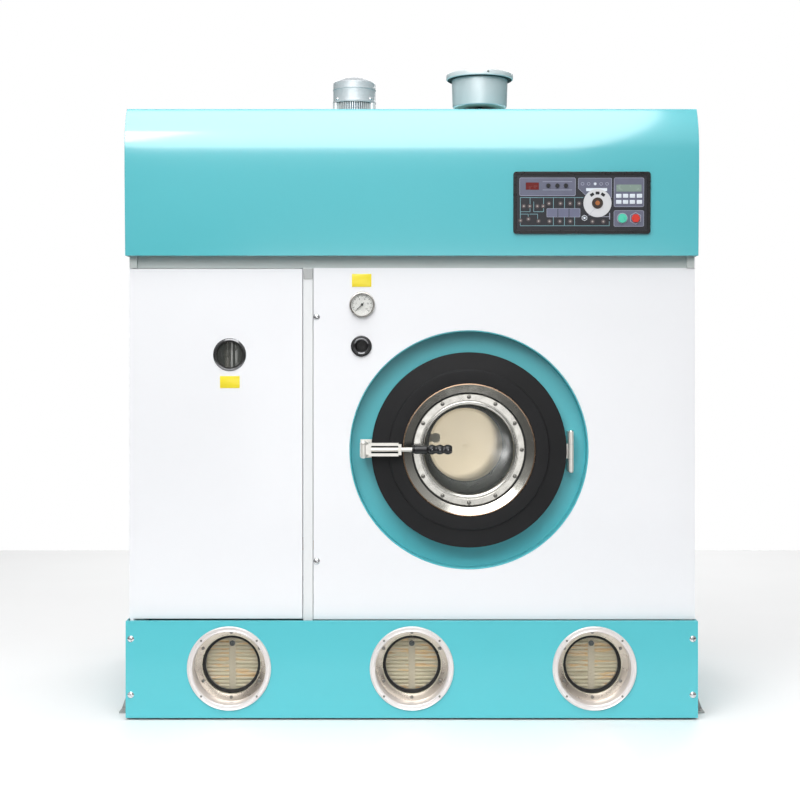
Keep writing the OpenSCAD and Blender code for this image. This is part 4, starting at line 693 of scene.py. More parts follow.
class MACHINE_OT_cabinet(bpy.types.Operator):
    """Rounds the folded edges of the hood, panels, base, rail and feet"""
    bl_idname = "machine.cabinet"
    bl_label = "Cabinet"

    def execute(self, context):
        edge = context.scene.cabinet_look.edge / MM
        for name, node, finish, share, *options in (
                ("hood_shell", "hood", "hood_paint", 1, 3),
                ("base_shell", "base_cover", "teal_paint", 0.7, 3),
                ("front_panel", "main_panel", "white_paint", 0.6),
                ("end_panels", "side_panels", "white_paint", 0.6),
                ("service_door_panel", "service_door", "white_paint", 0.6, 2, "side_door"),
                ("rail_under_hood", "top_rail", "grey_paint", 1),
                ("feet", "foot_brackets", "foot_paint", 0.5),
                ("recess_pan", "door_recess", "teal_paint", 0.5),
                ("rear_panel", "back_panel", "white_paint", 0.5)):
            dressed(name, node, finish, edge * share, *options)
        dressed("cover_fixings", "cover_screws", "chrome_screw", 0.6)
        self.panel_screws()
        # Grey block at the top of the post between the service door and the front panel; its mid grey is
        # painted shade where the hood shades the post
        left, right = high_of("service_door").x, low_of("main_panel").x
        top, face = high_of("main_panel").z, low_of("main_panel").y
        bm = bmesh.new()
        slab(bm, (left + 3, face + 1.2, top - 31), (right - 2.5, face + 4, top - 1), 1.5, 0.4)
        piece("post_top_shade_block", bm, "block_paint")
        return {"FINISHED"}

    def panel_screws(self):
        """Domed screws round the end panels and the back panel."""
        low, high = low_of("side_panels"), high_of("side_panels")
        inset, end_gap = 38, 50
        rows = [low.z + end_gap + i * (high.z - low.z - 2 * end_gap) / 2 for i in range(3)]
        for name, degrees, face, half, heights in (
                ("end_screws_right", 90, high.x, high.y - inset, rows),
                ("end_screws_left", -90, high.x, high.y - inset, rows),
                ("rear_screws", 180, high_of("back_panel").y, high_of("back_panel").x - inset / 2,
                 [60, *rows])):
            bm = bmesh.new()
            for u in (-half, half):
                for i, z in enumerate(heights):
                    slotted_head(bm, u, -face, z, 8, 3.4, 0.7 * i + u)
            piece(name, bm, "chrome_screw", place=Matrix.Rotation(radians(degrees), 4, "Z"))


class MACHINE_OT_sight_ports(bpy.types.Operator):
    """Makes the three tank sight ports: trim, clamp rings, glass and the coil behind them"""
    bl_idname = "machine.sight_ports"
    bl_label = "Sight ports"

    def execute(self, context):
        low, high = low_of("tank_port_flanges"), high_of("tank_port_flanges")
        trim_r = (high.z - low.z) / 2
        height = (high.z + low.z) / 2
        pitch = (high.x - low.x) / 2 - trim_r
        front, back = low.y, high.y
        glass_low, glass_high = low_of("tank_port_glasses"), high_of("tank_port_glasses")
        gasket_low = low_of("tank_port_gaskets")
        cover_front = low_of("base_cover").y
        glass_r = glass_high.z - height
        sleeve_r, sleeve_out_r, clamp_r, window_r = 102, 105, 82, 74
        bolt_circle, bolt_n, screw_circle, screw_n = 92, 6, 110, 4
        tube_r, tube_pitch, tube_n, tube_half = 6.6, 11, 17, 120
        trims, lips, clamps = bmesh.new(), bmesh.new(), bmesh.new()
        bolts, screws, studs = bmesh.new(), bmesh.new(), bmesh.new()
        glasses, gaskets, tubes, straps = bmesh.new(), bmesh.new(), bmesh.new(), bmesh.new()
        for x in (-pitch, 0, pitch):
            hub = (x, 0, height)
            turned(trims, "Y", hub, [
                (sleeve_r, front + 3.5), (sleeve_r + 1, front + 1.2), (sleeve_r + 3, front),
                (sleeve_r + 4.4, front + 0.9), (sleeve_r + 5.2, front + 1.8),
                (sleeve_r + 7, front + 1.4), (sleeve_r + 8.4, front + 1.9), (sleeve_r + 10, front + 1.5),
                (trim_r - 4.6, front + 1.8), (trim_r - 3.6, front + 0.5), (trim_r - 2.2, front),
                (trim_r - 0.8, front + 0.8), (trim_r, front + 2.6), (trim_r, cover_front),
                (sleeve_out_r, cover_front), (sleeve_out_r, back - 6), (sleeve_r, back - 6)], 128, True)
            turned(clamps, "Y", hub, [
                (clamp_r + 3, back - 6), (sleeve_r - 1, back - 11.6), (sleeve_out_r, back - 11.6),
                (sleeve_out_r, back), (clamp_r + 3, back)], 96, True)
            turned(lips, "Y", hub, [
                (clamp_r, back), (clamp_r, back - 5), (clamp_r + 0.8, back - 6.8),
                (clamp_r + 2.4, back - 7), (clamp_r + 3, back - 6), (clamp_r + 3, back)], 96, True)
            turned(gaskets, "Y", hub, [
                (window_r, gasket_low.y + 4), (window_r + 1, gasket_low.y), (glass_r, gasket_low.y),
                (glass_r, gasket_low.y + 4)], 96, True)
            turned(glasses, "Y", hub, [
                (0, glass_low.y), (glass_r - 1, glass_low.y), (glass_r, glass_low.y + 1),
                (glass_r, glass_high.y), (0, glass_high.y)], 96)
            for i in range(bolt_n):
                a = radians(360 / bolt_n * i + 30)
                hex_head(bolts, x + bolt_circle * cos(a), back - 7.6, height + bolt_circle * sin(a),
                         10.5, 4, 0.4 * i)
            for i in range(screw_n):
                a = radians(360 / screw_n * i + 45)
                slotted_head(screws, x + screw_circle * cos(a), front + 1.8, height + screw_circle * sin(a),
                             3.2, 1.4, i)
            # Coil bank: tubes across the tank's bay behind the glass, with a strap and its stud in front
            tube_y, strap_y = glass_high.y + 13, glass_high.y + 5.5
            for row in range(tube_n):
                z = height - tube_pitch * (tube_n // 2) + tube_pitch * row
                rod(tubes, (x - tube_half, tube_y, z), (x + tube_half, tube_y, z), tube_r, 14)
            slab(straps, (x - 9.5, strap_y, height - 95), (x + 9.5, glass_high.y + 7.9, height + 78),
                 2, 0.4)
            rod(studs, (x, strap_y, height + 56), (x, glass_high.y + 2.4, height + 56), 8, 24, 1)
        piece("port_trims", trims, "trim_steel", ["tank_port_flanges"])
        piece("port_clamp_rings", clamps, "clamp_steel")
        piece("port_lips", lips, "gold_lip")
        piece("port_bolts", bolts, "bolt_steel", ["tank_port_bolts"])
        piece("port_screws", screws, "bolt_steel")
        piece("port_gaskets", gaskets, "black_rubber", ["tank_port_gaskets"])
        piece("port_glasses", glasses, "sight_glass", ["tank_port_glasses"])
        piece("coil_tubes", tubes, "tube_bank")
        piece("coil_straps", straps, "tube_strap")
        piece("coil_studs", studs, "cast_iron")
        return {"FINISHED"}


class MACHINE_OT_loading_door(bpy.types.Operator):
    """Makes the loading door: enamelled disc, polished collar, bolted ring, glass and bolts"""
    bl_idname = "machine.loading_door"
    bl_label = "Loading door"

    def execute(self, context):
        steps = context.scene.door_look.steps
        low, high = low_of("door_disc"), high_of("door_disc")
        hub = middle("door_disc")
        x, z = hub.x, hub.z
        disc_r = (high.x - low.x) / 2
        face = low.y + 6
        back = high.y
        collar = low_of("door_collar")
        collar_r = high_of("door_collar").x - x
        # The collar's sleeve, the pocket of the bolted ring, the glass's seat and the throat behind it
        sleeve_r, pocket_r, seat_r, throat_r = 166, 162, 145, 130
        pocket_y = -514.7
        bolt_circle, bolt_n = 149, 12

        def ring(name, finish, outline, replaces=(), closed=True):
            """A piece of the door that is turned round its middle."""
            lathe(name, finish, "Y", hub, outline, steps, replaces, "loading_door", closed)

        ring("door_plate", "black_enamel", [
            (sleeve_r, back), (disc_r - 3, back), (disc_r - 0.8, back - 0.9), (disc_r, back - 3),
            (disc_r, face + 3.4), (disc_r - 0.5, face + 1.6), (disc_r - 1.6, face + 0.5),
            (disc_r - 3.4, face), (228, face), (226.6, face - 0.4), (225.6, face - 1.6), (224.8, face - 4.4),
            (223.6, face - 5.6), (221.8, face - 6), (collar_r + 6, face - 4.4), (collar_r + 0.4, face - 4.2),
            (collar_r + 0.4, face + 1), (sleeve_r, face + 19)], ["door_disc"])
        # Collar: a polished cone that leans in towards the glass, in a rolled rim whose warm copper tint is
        # a painted highlight along the collar's edge
        ring("door_collar_rim", "copper_edge", [
            (collar_r - 4.5, collar.y + 2.4), (collar_r - 4.2, collar.y + 0.8), (collar_r - 3, collar.y),
            (collar_r - 1.2, collar.y + 0.3), (collar_r, collar.y + 1.8), (collar_r, collar.y + 4),
            (collar_r - 4.5, collar.y + 5)])
        ring("door_cone", "collar_steel", [
            (pocket_r, face + 14), (pocket_r, face + 6.6), (collar_r - 4.5, collar.y + 1.6),
            (collar_r - 4.5, collar.y + 5), (sleeve_r, face + 19), (sleeve_r, back + 4),
            (throat_r, back + 4), (throat_r, back + 2.3), (seat_r, back + 2.3), (seat_r, pocket_y),
            (pocket_r, pocket_y)],
             ["door_collar"])
        ring_low, ring_high = low_of("door_ring"), high_of("door_ring")
        ring_r = ring_high.x - x
        ring_y = ring_low.y + 1
        ring("door_bezel", "polished_steel", [
            (127, ring_y + 7), (127.4, ring_y + 3.4), (129.2, ring_y + 1.2), (131, ring_y + 0.6),
            (132.4, ring_y - 0.6), (134, ring_y - 1), (135.6, ring_y - 0.4), (137, ring_y + 1),
            (138.4, ring_y + 1), (139.6, ring_y), (ring_r - 1.4, ring_y), (ring_r, ring_y + 1.2),
            (ring_r, ring_y + 7), (131, ring_y + 7), (131, ring_high.y)], ["door_ring"])
        bm = bmesh.new()
        for i in range(bolt_n):
            a = radians(90 + 360 / bolt_n * i)
            turned(bm, "Y", (x + bolt_circle * cos(a), 0, z + bolt_circle * sin(a)), [
                (0, ring_y - 3.8), (2.4, ring_y - 3.8), (3.9, ring_y - 3), (4.5, ring_y - 1.6),
                (4.5, ring_y - 1), (6, ring_y - 0.9), (6, ring_y), (0, ring_y)], 20)
        piece("door_ring_bolts", bm, "bolt_steel", ["door_bolts"], "loading_door")
        seal_in_r, seal_out_r = ring_r + 0.2, pocket_r - 0.2
        ring("door_ring_seal", "black_rubber", [
            (seal_in_r, ring_y + 2.6), (seal_out_r, ring_y + 2.6), (seal_out_r, ring_y + 7.2),
            (seal_in_r, ring_y + 7.2)])
        glass_low, glass_high = low_of("door_glass"), high_of("door_glass")
        glass_r = glass_high.x - x
        ring("door_pane", "sight_glass", [
            (0, glass_low.y), (glass_r - 1, glass_low.y), (glass_r, glass_low.y + 1),
            (glass_r, glass_high.y - 1), (glass_r - 1, glass_high.y), (0, glass_high.y)],
             ["door_glass"], closed=False)
        dressed("door_hinge_and_clevis", "door_brackets", "satin_nickel", 0.8, body="loading_door")
        dressed("hinge_bracket", "door_hinge_bracket", "satin_nickel", 0.8)
        dressed("keeper", "latch_keeper", "bright_steel", 0.8)
        return {"FINISHED"}


class MACHINE_OT_clamp_lever(bpy.types.Operator):
    """Makes the clamp lever: pivot block, channel, rod and the moulded grip"""
    bl_idname = "machine.clamp_lever"
    bl_label = "Clamp lever"

    def execute(self, context):
        dressed("lever_channel", "latch_arm", "satin_nickel", 0.9, body="clamp_lever")
        low, high = low_of("latch_grip"), high_of("latch_grip")
        centre = middle("latch_grip")
        radius = (high.z - low.z) / 2
        length = high.x - low.x
        bore_r, bore_depth = 6.1, 40
        # Sleeve, waist and three fat rings with grooves between them
        outline = [(0, bore_depth), (bore_r, bore_depth), (bore_r, 0), (radius * 0.72, 0),
                   (radius * 0.8, 1.5), (radius * 0.8, 4.5), (radius * 0.74, 5.5), (radius * 0.86, 6.5),
                   (radius * 0.9, 10), (radius * 0.9, length * 0.36), (radius * 0.7, length * 0.385)]
        ring = length * 0.2
        for i in range(3):
            start = length * 0.4 + ring * i
            outline += [(radius * (0.76 + 0.24 * sin(pi * k / 6)), start + ring * 0.9 * k / 6)
                        for k in range(7)]
        outline += [(radius * 0.62, length - 0.6), (radius * 0.4, length), (0, length)]
        lathe("lever_grip", "black_plastic", "X", centre, [(r, low.x + d) for r, d in outline], 48,
              ["latch_grip"], "clamp_lever")
        return {"FINISHED"}


class MACHINE_OT_instruments(bpy.types.Operator):
    """Makes the pressure gauge, the sample socket, the sight window and the bare yellow plates"""
    bl_idname = "machine.instruments"
    bl_label = "Instruments"

    # The dial's scale, in degrees from the right: where it starts, how far it runs, its ticks and numbers
    SCALE_START, SCALE_SWEEP, TICKS, NUMBERS = 225, 270, 50, 5

    def execute(self, context):
        self.gauge()
        self.socket()
        self.sight_window()
        self.plates()
        return {"FINISHED"}

    def gauge(self):
        """Bezel, enamelled dial with ticks and numbers, and its glass."""
        low = low_of("gauge_case")
        centre = middle("gauge_case")
        radius = high_of("gauge_case").x - centre.x
        panel = low_of("main_panel").y
        dial_y, dial_r = panel - 2, radius - 5.1
        lathe("gauge_body", "gauge_steel", "Y", centre, [
            (0, panel - 1.2), (radius - 5, panel - 1.2), (radius - 5, low.y + 3), (radius - 4.6, low.y + 1),
            (radius - 3.4, low.y), (radius - 1.8, low.y + 0.4), (radius - 0.6, low.y + 2),
            (radius, low.y + 5), (radius - 1, low.y + 8), (radius, panel - 1.5), (radius, panel),
            (radius - 4, panel), (radius - 4, panel + 33), (8, panel + 33), (8, panel + 51),
            (0, panel + 51)], 72, ["gauge_case"])
        lathe("gauge_dial", "dial_enamel", "Y", centre, [
            (0, dial_y), (dial_r, dial_y), (dial_r, panel - 1.1), (0, panel - 1.1)], 72)
        bm = bmesh.new()
        for i in range(self.TICKS + 1):
            a = radians(self.SCALE_START - self.SCALE_SWEEP / self.TICKS * i)
            big = i % 5 == 0
            start, half = (22, 0.55) if big else (25, 0.25)
            slab(bm, (start, -0.25, -half), (28.5, 0.05, half),
                 place=turn_at(centre.x, dial_y, centre.z, -a))
        piece("gauge_ticks", bm, "dial_ink")
        self.numbers(centre, dial_y)
        lathe("gauge_glass", "sight_glass", "Y", centre, [
            (0, low.y + 2.4), (dial_r, low.y + 2.4), (dial_r, low.y + 3.6), (0, low.y + 3.6)], 72)

    def numbers(self, centre, dial_y):
        """Plain numbers round the dial."""
        ring_r = 17
        bm = bmesh.new()
        for i in range(self.NUMBERS + 1):
            a = radians(self.SCALE_START - self.SCALE_SWEEP / self.NUMBERS * i)
            curve = bpy.data.curves.new("number", "FONT")
            curve.body = str(2 * i)
            curve.size = 6.5 * MM
            curve.extrude = 0.12 * MM
            curve.align_x = "CENTER"
            curve.align_y = "CENTER"
            text = bpy.data.objects.new("number", curve)
            bpy.context.scene.collection.objects.link(text)
            bpy.context.view_layer.update()
            mesh = bpy.data.meshes.new_from_object(text)
            mesh.transform(turn_at(centre.x + ring_r * cos(a), dial_y - 0.1, centre.z + ring_r * sin(a),
                                   pi / 2, "X"))
            bm.from_mesh(mesh)
            bpy.data.objects.remove(text)
            bpy.data.curves.remove(curve)
            bpy.data.meshes.remove(mesh)
        piece("gauge_numbers", bm, "dial_ink")

    def socket(self):
        """Moulded sampling socket with a rolled lip and a funnel to its bore."""
        low = low_of("sample_socket")
        centre = middle("sample_socket")
        radius = high_of("sample_socket").x - centre.x
        panel = low_of("main_panel").y
        lathe("sample_cup", "black_plastic", "Y", centre, [
            (15, panel + 37), (15, panel - 2.4), (16.2, panel - 4), (19.5, panel - 5.6),
            (21.5, panel - 6.4), (23.5, low.y), (radius - 3.4, low.y), (radius - 1.2, low.y + 0.8),
            (radius, low.y + 3), (radius, panel), (radius - 6, panel), (radius - 6, panel + 43),
            (0, panel + 43), (0, panel + 37)], 64, ["sample_socket"])
        lathe("sample_ring", "dark_nickel", "Y", centre, [
            (15.4, panel - 1), (15.4, panel - 2.6), (21.8, panel - 7.6), (22.6, panel - 7.4),
            (22.6, panel - 1)], 64, closed=True)

    def sight_window(self):
        """Rubber ring and pane in the service door, over the separator's level tube."""
        low = low_of("sight_ring")
        centre = middle("sight_ring")
        radius = high_of("sight_ring").x - centre.x
        lathe("sight_grommet", "black_rubber", "Y", centre, [
            (36, low.y + 9), (36, low.y + 2.4), (36.6, low.y + 1.4), (radius - 6, low.y + 0.6),
            (radius - 6, low.y + 4), (37.6, low.y + 4), (37.6, low.y + 9)],
              72, ["sight_ring"], "side_door", closed=True)
        lathe("sight_trim", "dark_nickel", "Y", centre, [
            (radius - 6, low.y + 4), (radius - 6, low.y + 0.4), (radius - 5.2, low.y),
            (radius - 0.6, low.y + 2.6), (radius, low.y + 3.4), (radius, low.y + 4)],
              72, body="side_door", closed=True)
        lathe("sight_pane", "sight_glass", "Y", centre, [
            (0, low.y + 6), (36.2, low.y + 6), (36.2, low.y + 8.6), (0, low.y + 8.6)], 48, body="side_door")
        # Left of the window's axis, so that it shows near the middle from the front. Its right side and
        # the fitting's run into the sight tube that the separator's own node has on the axis
        tube = bmesh.new()
        x, y = centre.x - 12, low_of("water_separator").y + 9
        rod(tube, (x, y, centre.z - 68), (x, y, centre.z - 4), 9.4, 24, 1)
        piece("level_tube", tube, "tube_fill")
        tube = bmesh.new()
        rod(tube, (x, y, centre.z - 6), (x, y, centre.z + 14), 12, 24, 1.5)
        rod(tube, (x, y, centre.z + 13), (x, y, centre.z + 68), 7, 24, 1)
        turned(tube, "Y", (x + 16, 0, centre.z + 22),
               [(9, y), (12, y), (12, y + 2.4), (9, y + 2.4)], 32, True)
        piece("level_tube_fitting", tube, "tube_fill")

    def plates(self):
        """Two bare yellow plates on the panels."""
        face = low_of("main_panel").y
        for name, body, x, z in (("gauge_plate", "cabinet", (-168.6, -113.6), (1214.9, 1251.5)),
                                 ("window_plate", "side_door", (-540, -484.5), (930, 963.9))):
            bm = bmesh.new()
            slab(bm, (x[0], face - 0.9, z[0]), (x[1], face, z[1]), 1.5, 0.3)
            piece(name, bm, "yellow_plate", body=body)


class MACHINE_OT_console(bpy.types.Operator):
    """Makes the console's bezel and foil, its flow diagram, keys, dial, displays and button rims"""
    bl_idname = "machine.console"
    bl_label = "Console"

    # The hood's foot is tucked in, so that its front leans out towards the top
    HOOD_TUCK, LEAN_HEIGHT = 10, 239
    FOOT_Y, HOOD_Z, CONSOLE_Z, BEZEL_T = -550, 1301, 61, 6.05
    FOIL = 2.0
    INK = 0.3

    def execute(self, context):
        look = context.scene.console_look
        lean = atan2(self.HOOD_TUCK, self.LEAN_HEIGHT)
        centre = middle("console_frame").x
        # Local frame: X across from the middle, Y inwards from the bezel's front, Z up its face
        self.place = (turn_at(centre, self.FOOT_Y, self.HOOD_Z, lean, "X")
                      @ Matrix.Translation(Vector((0, -self.BEZEL_T, self.CONSOLE_Z)) * MM))
        dressed("console_bezel", "console_frame", "black_plastic", 1.2)
        self.flow_diagram(look.line_width / MM)
        self.boxes()
        self.lamps()
        self.selector()
        self.keys()
        self.buttons()
        return {"FINISHED"}

    def finish_art(self, name, bm, finish):
        """Places a printed or raised group on the leaning face."""
        piece(name, bm, finish, place=self.place)

    def ink(self, bm, u, v, corner=0.0, lift=0, height=None):
        """A printed rectangle on the foil, raised by its ink."""
        top = self.FOIL - self.INK * lift - (height or self.INK)
        slab(bm, (u[0], top, v[0]), (u[1], self.FOIL - self.INK * lift * 0.9, v[1]), corner)

    def disc(self, bm, u, v, radius, height, inner=0.0, lift=0.0, steps=32):
        """A round button, lamp or ring on the foil."""
        foot = self.FOIL - lift
        top = foot - height
        edge = min(0.4, height / 3)
        outline = [(inner, foot), (inner, top), (radius - edge, top), (radius, top + edge), (radius, foot)]
        turned(bm, "Y", (u, 0, v), outline, steps, inner > 0)

    def stroke(self, bm, start, end, width, lift=0.0):
        """A printed line in any direction, from one (u, v) point to another."""
        start, end = Vector(start), Vector(end)
        run = end - start
        turn = (Matrix.Translation(Vector((*((start + end) / 2), 0)).xzy * MM)
                @ Matrix.Rotation(-atan2(run.y, run.x), 4, "Y"))
        reach = (run.length + width) / 2
        slab(bm, (-reach, self.FOIL - self.INK - lift, -width / 2), (reach, self.FOIL, width / 2),
             place=turn)

    def plate(self, points, height):
        """A flat printed shape with the given (u, v) corners."""
        part = bmesh.new()
        face = part.faces.new([part.verts.new(Vector((u, self.FOIL, v)) * MM) for u, v in points])
        made = bmesh.ops.extrude_face_region(part, geom=[face])["geom"]
        lifted = [g for g in made if isinstance(g, bmesh.types.BMVert)]
        bmesh.ops.translate(part, verts=lifted, vec=(0, -height * MM, 0))
        return part

    def outline_box(self, bm, u, v, width, corner):
        """A printed rounded frame."""
        part = bmesh.new()
        slab(part, (u[0], self.FOIL - self.INK, v[0]), (u[1], self.FOIL, v[1]), corner)
        self.hollowed(bm, part, width)

    def hollowed(self, bm, part, width):
        """Adds a plate with its middle inset and cut away."""
        faces = [f for f in part.faces if abs(f.normal.y) > 0.9]
        bmesh.ops.inset_individual(part, faces=faces, thickness=width * MM, depth=0)
        middle_faces = [f for f in part.faces if abs(f.normal.y) > 0.9
                        and all(len(e.link_faces) == 2 for e in f.edges)
                        and all(abs(g.normal.y) > 0.9 for e in f.edges for g in e.link_faces)]
        rims = [e for f in middle_faces for e in f.edges]
        bmesh.ops.delete(part, geom=middle_faces, context="FACES_ONLY")
        bmesh.ops.bridge_loops(part, edges=[e for e in rims if e.is_valid])
        join(bm, part)

    def flow_diagram(self, width):
        """The printed pipes of the solvent circuit."""
        runs = [
            [(-172, 24), (-172, 100.8), (3.4, 100.8)],
            [(-172, 22.3), (76.5, 22.3), (76.5, 34)],
            [(-172, 61.4), (-144.8, 61.4), (-144.8, 100.8)],
            [(-134.6, 89), (-134.6, 61.4), (-107.1, 61.4), (-107.1, 100.8)],
            [(-170, 54.7), (-149.9, 54.7), (-149.9, 48)],
            [(-146, 54.7), (-123.6, 54.7), (-123.6, 42)],
        ]
        for u in (-79.6, -48.6, -20.1):
            runs += [[(u, 69.8), (u, 100.8)], [(u, 24), (u, 47)]]
        bm = bmesh.new()
        for run in runs:
            for (u0, v0), (u1, v1) in zip(run, run[1:]):
                self.stroke(bm, (u0, v0), (u1, v1), width)
        self.finish_art("console_flow_lines", bm, "foil_cyan")

    def boxes(self):
        """The framed fields of the foil: temperature, indicators, program and start."""
        fields, frames = bmesh.new(), bmesh.new()
        for u, v in (((-174.5, -17.9), (105.5, 156.1)), ((89.1, 173.1), (74.8, 156.1)),
                     ((89.1, 173.1), (20.1, 65.1))):
            self.ink(fields, (u[0] + 1, u[1] - 1), (v[0] + 1, v[1] - 1), 4, height=0.15)
            self.outline_box(frames, u, v, 1.1, 4.5)
        # The indicator field narrows on the left, down to the dial that covers its foot
        corners = [(-10.6, 126.2), (-10.6, 153.3), (-8.6, 155.3), (81, 155.3), (83, 153.3), (83, 99.7),
                   (17.6, 99.7)]
        join(fields, self.plate(corners, 0.15))
        self.hollowed(frames, self.plate(corners, self.INK), 1.1)
        for v in (144.9, 122.0):
            self.ink(frames, (-110, -27.6), (v - 0.6, v + 0.6))
        self.outline_box(frames, (-98.4, -4.6), (46.2, 70.8), 0.9, 3)
        self.finish_art("console_fields", fields, "foil_violet")
        self.finish_art("console_field_frames", frames, "foil_pale")
        bars = bmesh.new()
        for u0 in (-97.4, -66.2, -35.0):
            self.ink(bars, (u0, u0 + 29.4), (47.2, 69.8), 2)
        self.finish_art("console_tank_fields", bars, "foil_grey")
        for name, u, v, finish in (("console_white_bar", (11.4, 70.1), (118.7, 127), "key_white"),
                                   ("console_red_window", (-156.9, -120.3), (122.6, 142.7), "lamp_red"),
                                   ("console_screen", (96, 165.8), (117.5, 136.8), "screen_grey")):
            screen = bmesh.new()
            self.ink(screen, u, v, 1, lift=1)
            self.finish_art(name, screen, finish)

    def lamps(self):
        """Small round lamps and indicator marks."""
        rims, lamps = bmesh.new(), bmesh.new()
        spots = [(-162.3, 76.8), (-145.7, 76.8), (-124.4, 76.8), (-108.4, 76.8), (-91.9, 84.2),
                 (-60.1, 84.2), (-33.1, 84.2), (-7.7, 84.2), (-171.4, 36.7), (-149.3, 40.9),
                 (-120.9, 35.4), (-90.5, 34.5), (-61.5, 34.5), (-32.5, 34.5), (29.6, 34.0), (59.9, 34.0)]
        for u, v in spots:
            self.disc(rims, u, v, 6, 0.7)
            self.disc(lamps, u, v, 2.4, 1.1)
        self.finish_art("console_lamp_rims", rims, "lamp_bronze")
        self.finish_art("console_lamps", lamps, "lamp_smoke")
        marks, rings = bmesh.new(), bmesh.new()
        for u in (1.4, 18.4, 36.6, 53.3, 69.8):
            self.disc(rings, u, 139, 4.6, 0.5, 3.4, 0.3)
        self.disc(marks, 36.6, 139, 3.2, 0.6, 0, 0.3)
        self.disc(marks, 7.3, 44.1, 8.4, 0.6, 6.8, 0.0, 6)
        self.disc(marks, 7.3, 44.1, 3.2, 0.6)
        self.finish_art("console_marks", marks, "key_white")
        self.finish_art("console_mark_rings", rings, "foil_pale")
        knobs = bmesh.new()
        for u in (-94, -69, -45):
            self.disc(knobs, u, 134, 6, 3.5, 0, 0.1)
        self.finish_art("console_trimmers", knobs, "knob_black")

    def selector(self):
        """The round program selector with its windows, hub and lit centre."""
        u, v, radius = 43.3, 85.4, 39.3
        plate, hub, windows, lamp = bmesh.new(), bmesh.new(), bmesh.new(), bmesh.new()
        self.disc(plate, u, v, radius, 1.2, 0, 0, 72)
        self.disc(hub, u, v, 15.5, 2.2, 0, 1, 48)
        self.disc(lamp, u, v, 6.5, 3.2, 0, 1, 32)
        for degrees in (-33, 0, 33):
            slab(windows, (-5.5, self.FOIL - 1.5, 24), (5.5, self.FOIL - 1.1, 32), 1,
                 place=turn_at(u, 0, v, radians(degrees)))
        # Thin leader lines from the dial to the hexagon and to the delivery line
        marks = bmesh.new()
        self.stroke(marks, (42, 76), (19, 52), 0.7, 1.1)
        self.stroke(marks, (31.5, 51.5), (19, 52), 0.9)
        self.stroke(marks, (40, 47.5), (76, 47.5), 1.4)
        self.stroke(marks, (77.5, 41), (77.5, 57), 2.4)
        self.finish_art("console_selector", plate, "dial_silver")
        self.finish_art("console_selector_hub", hub, "hub_brown")
        self.finish_art("console_selector_windows", windows, "knob_black")
        self.finish_art("console_selector_lamp", lamp, "lamp_orange")
        self.finish_art("console_leader_lines", marks, "foil_pale")

    def keys(self):
        """Eight domed program keys in two rows."""
        half_u, half_v = 7.4, 5.45
        bm = bmesh.new()
        for u in (102.7, 121.7, 140.7, 160.3):
            for v in (105.5, 88.5):
                slab(bm, (u - half_u, self.FOIL - 1.3, v - half_v),
                     (u + half_u, self.FOIL - 0.1, v + half_v), 1.5, 0.5)
        self.finish_art("console_keys", bm, "key_white")

    def buttons(self):
        """Pale rims round the start and stop keys."""
        bm = bmesh.new()
        height = 43
        for node, outer, inner, steps in (("start_button", 15.2, 13.1, 48), ("stop_button", 17.4, 15.2, 6)):
            u = middle(node).x - middle("console_frame").x
            self.disc(bm, u, height, outer, 1.0, inner, 0, steps)
        self.finish_art("console_button_rims", bm, "foil_pale")


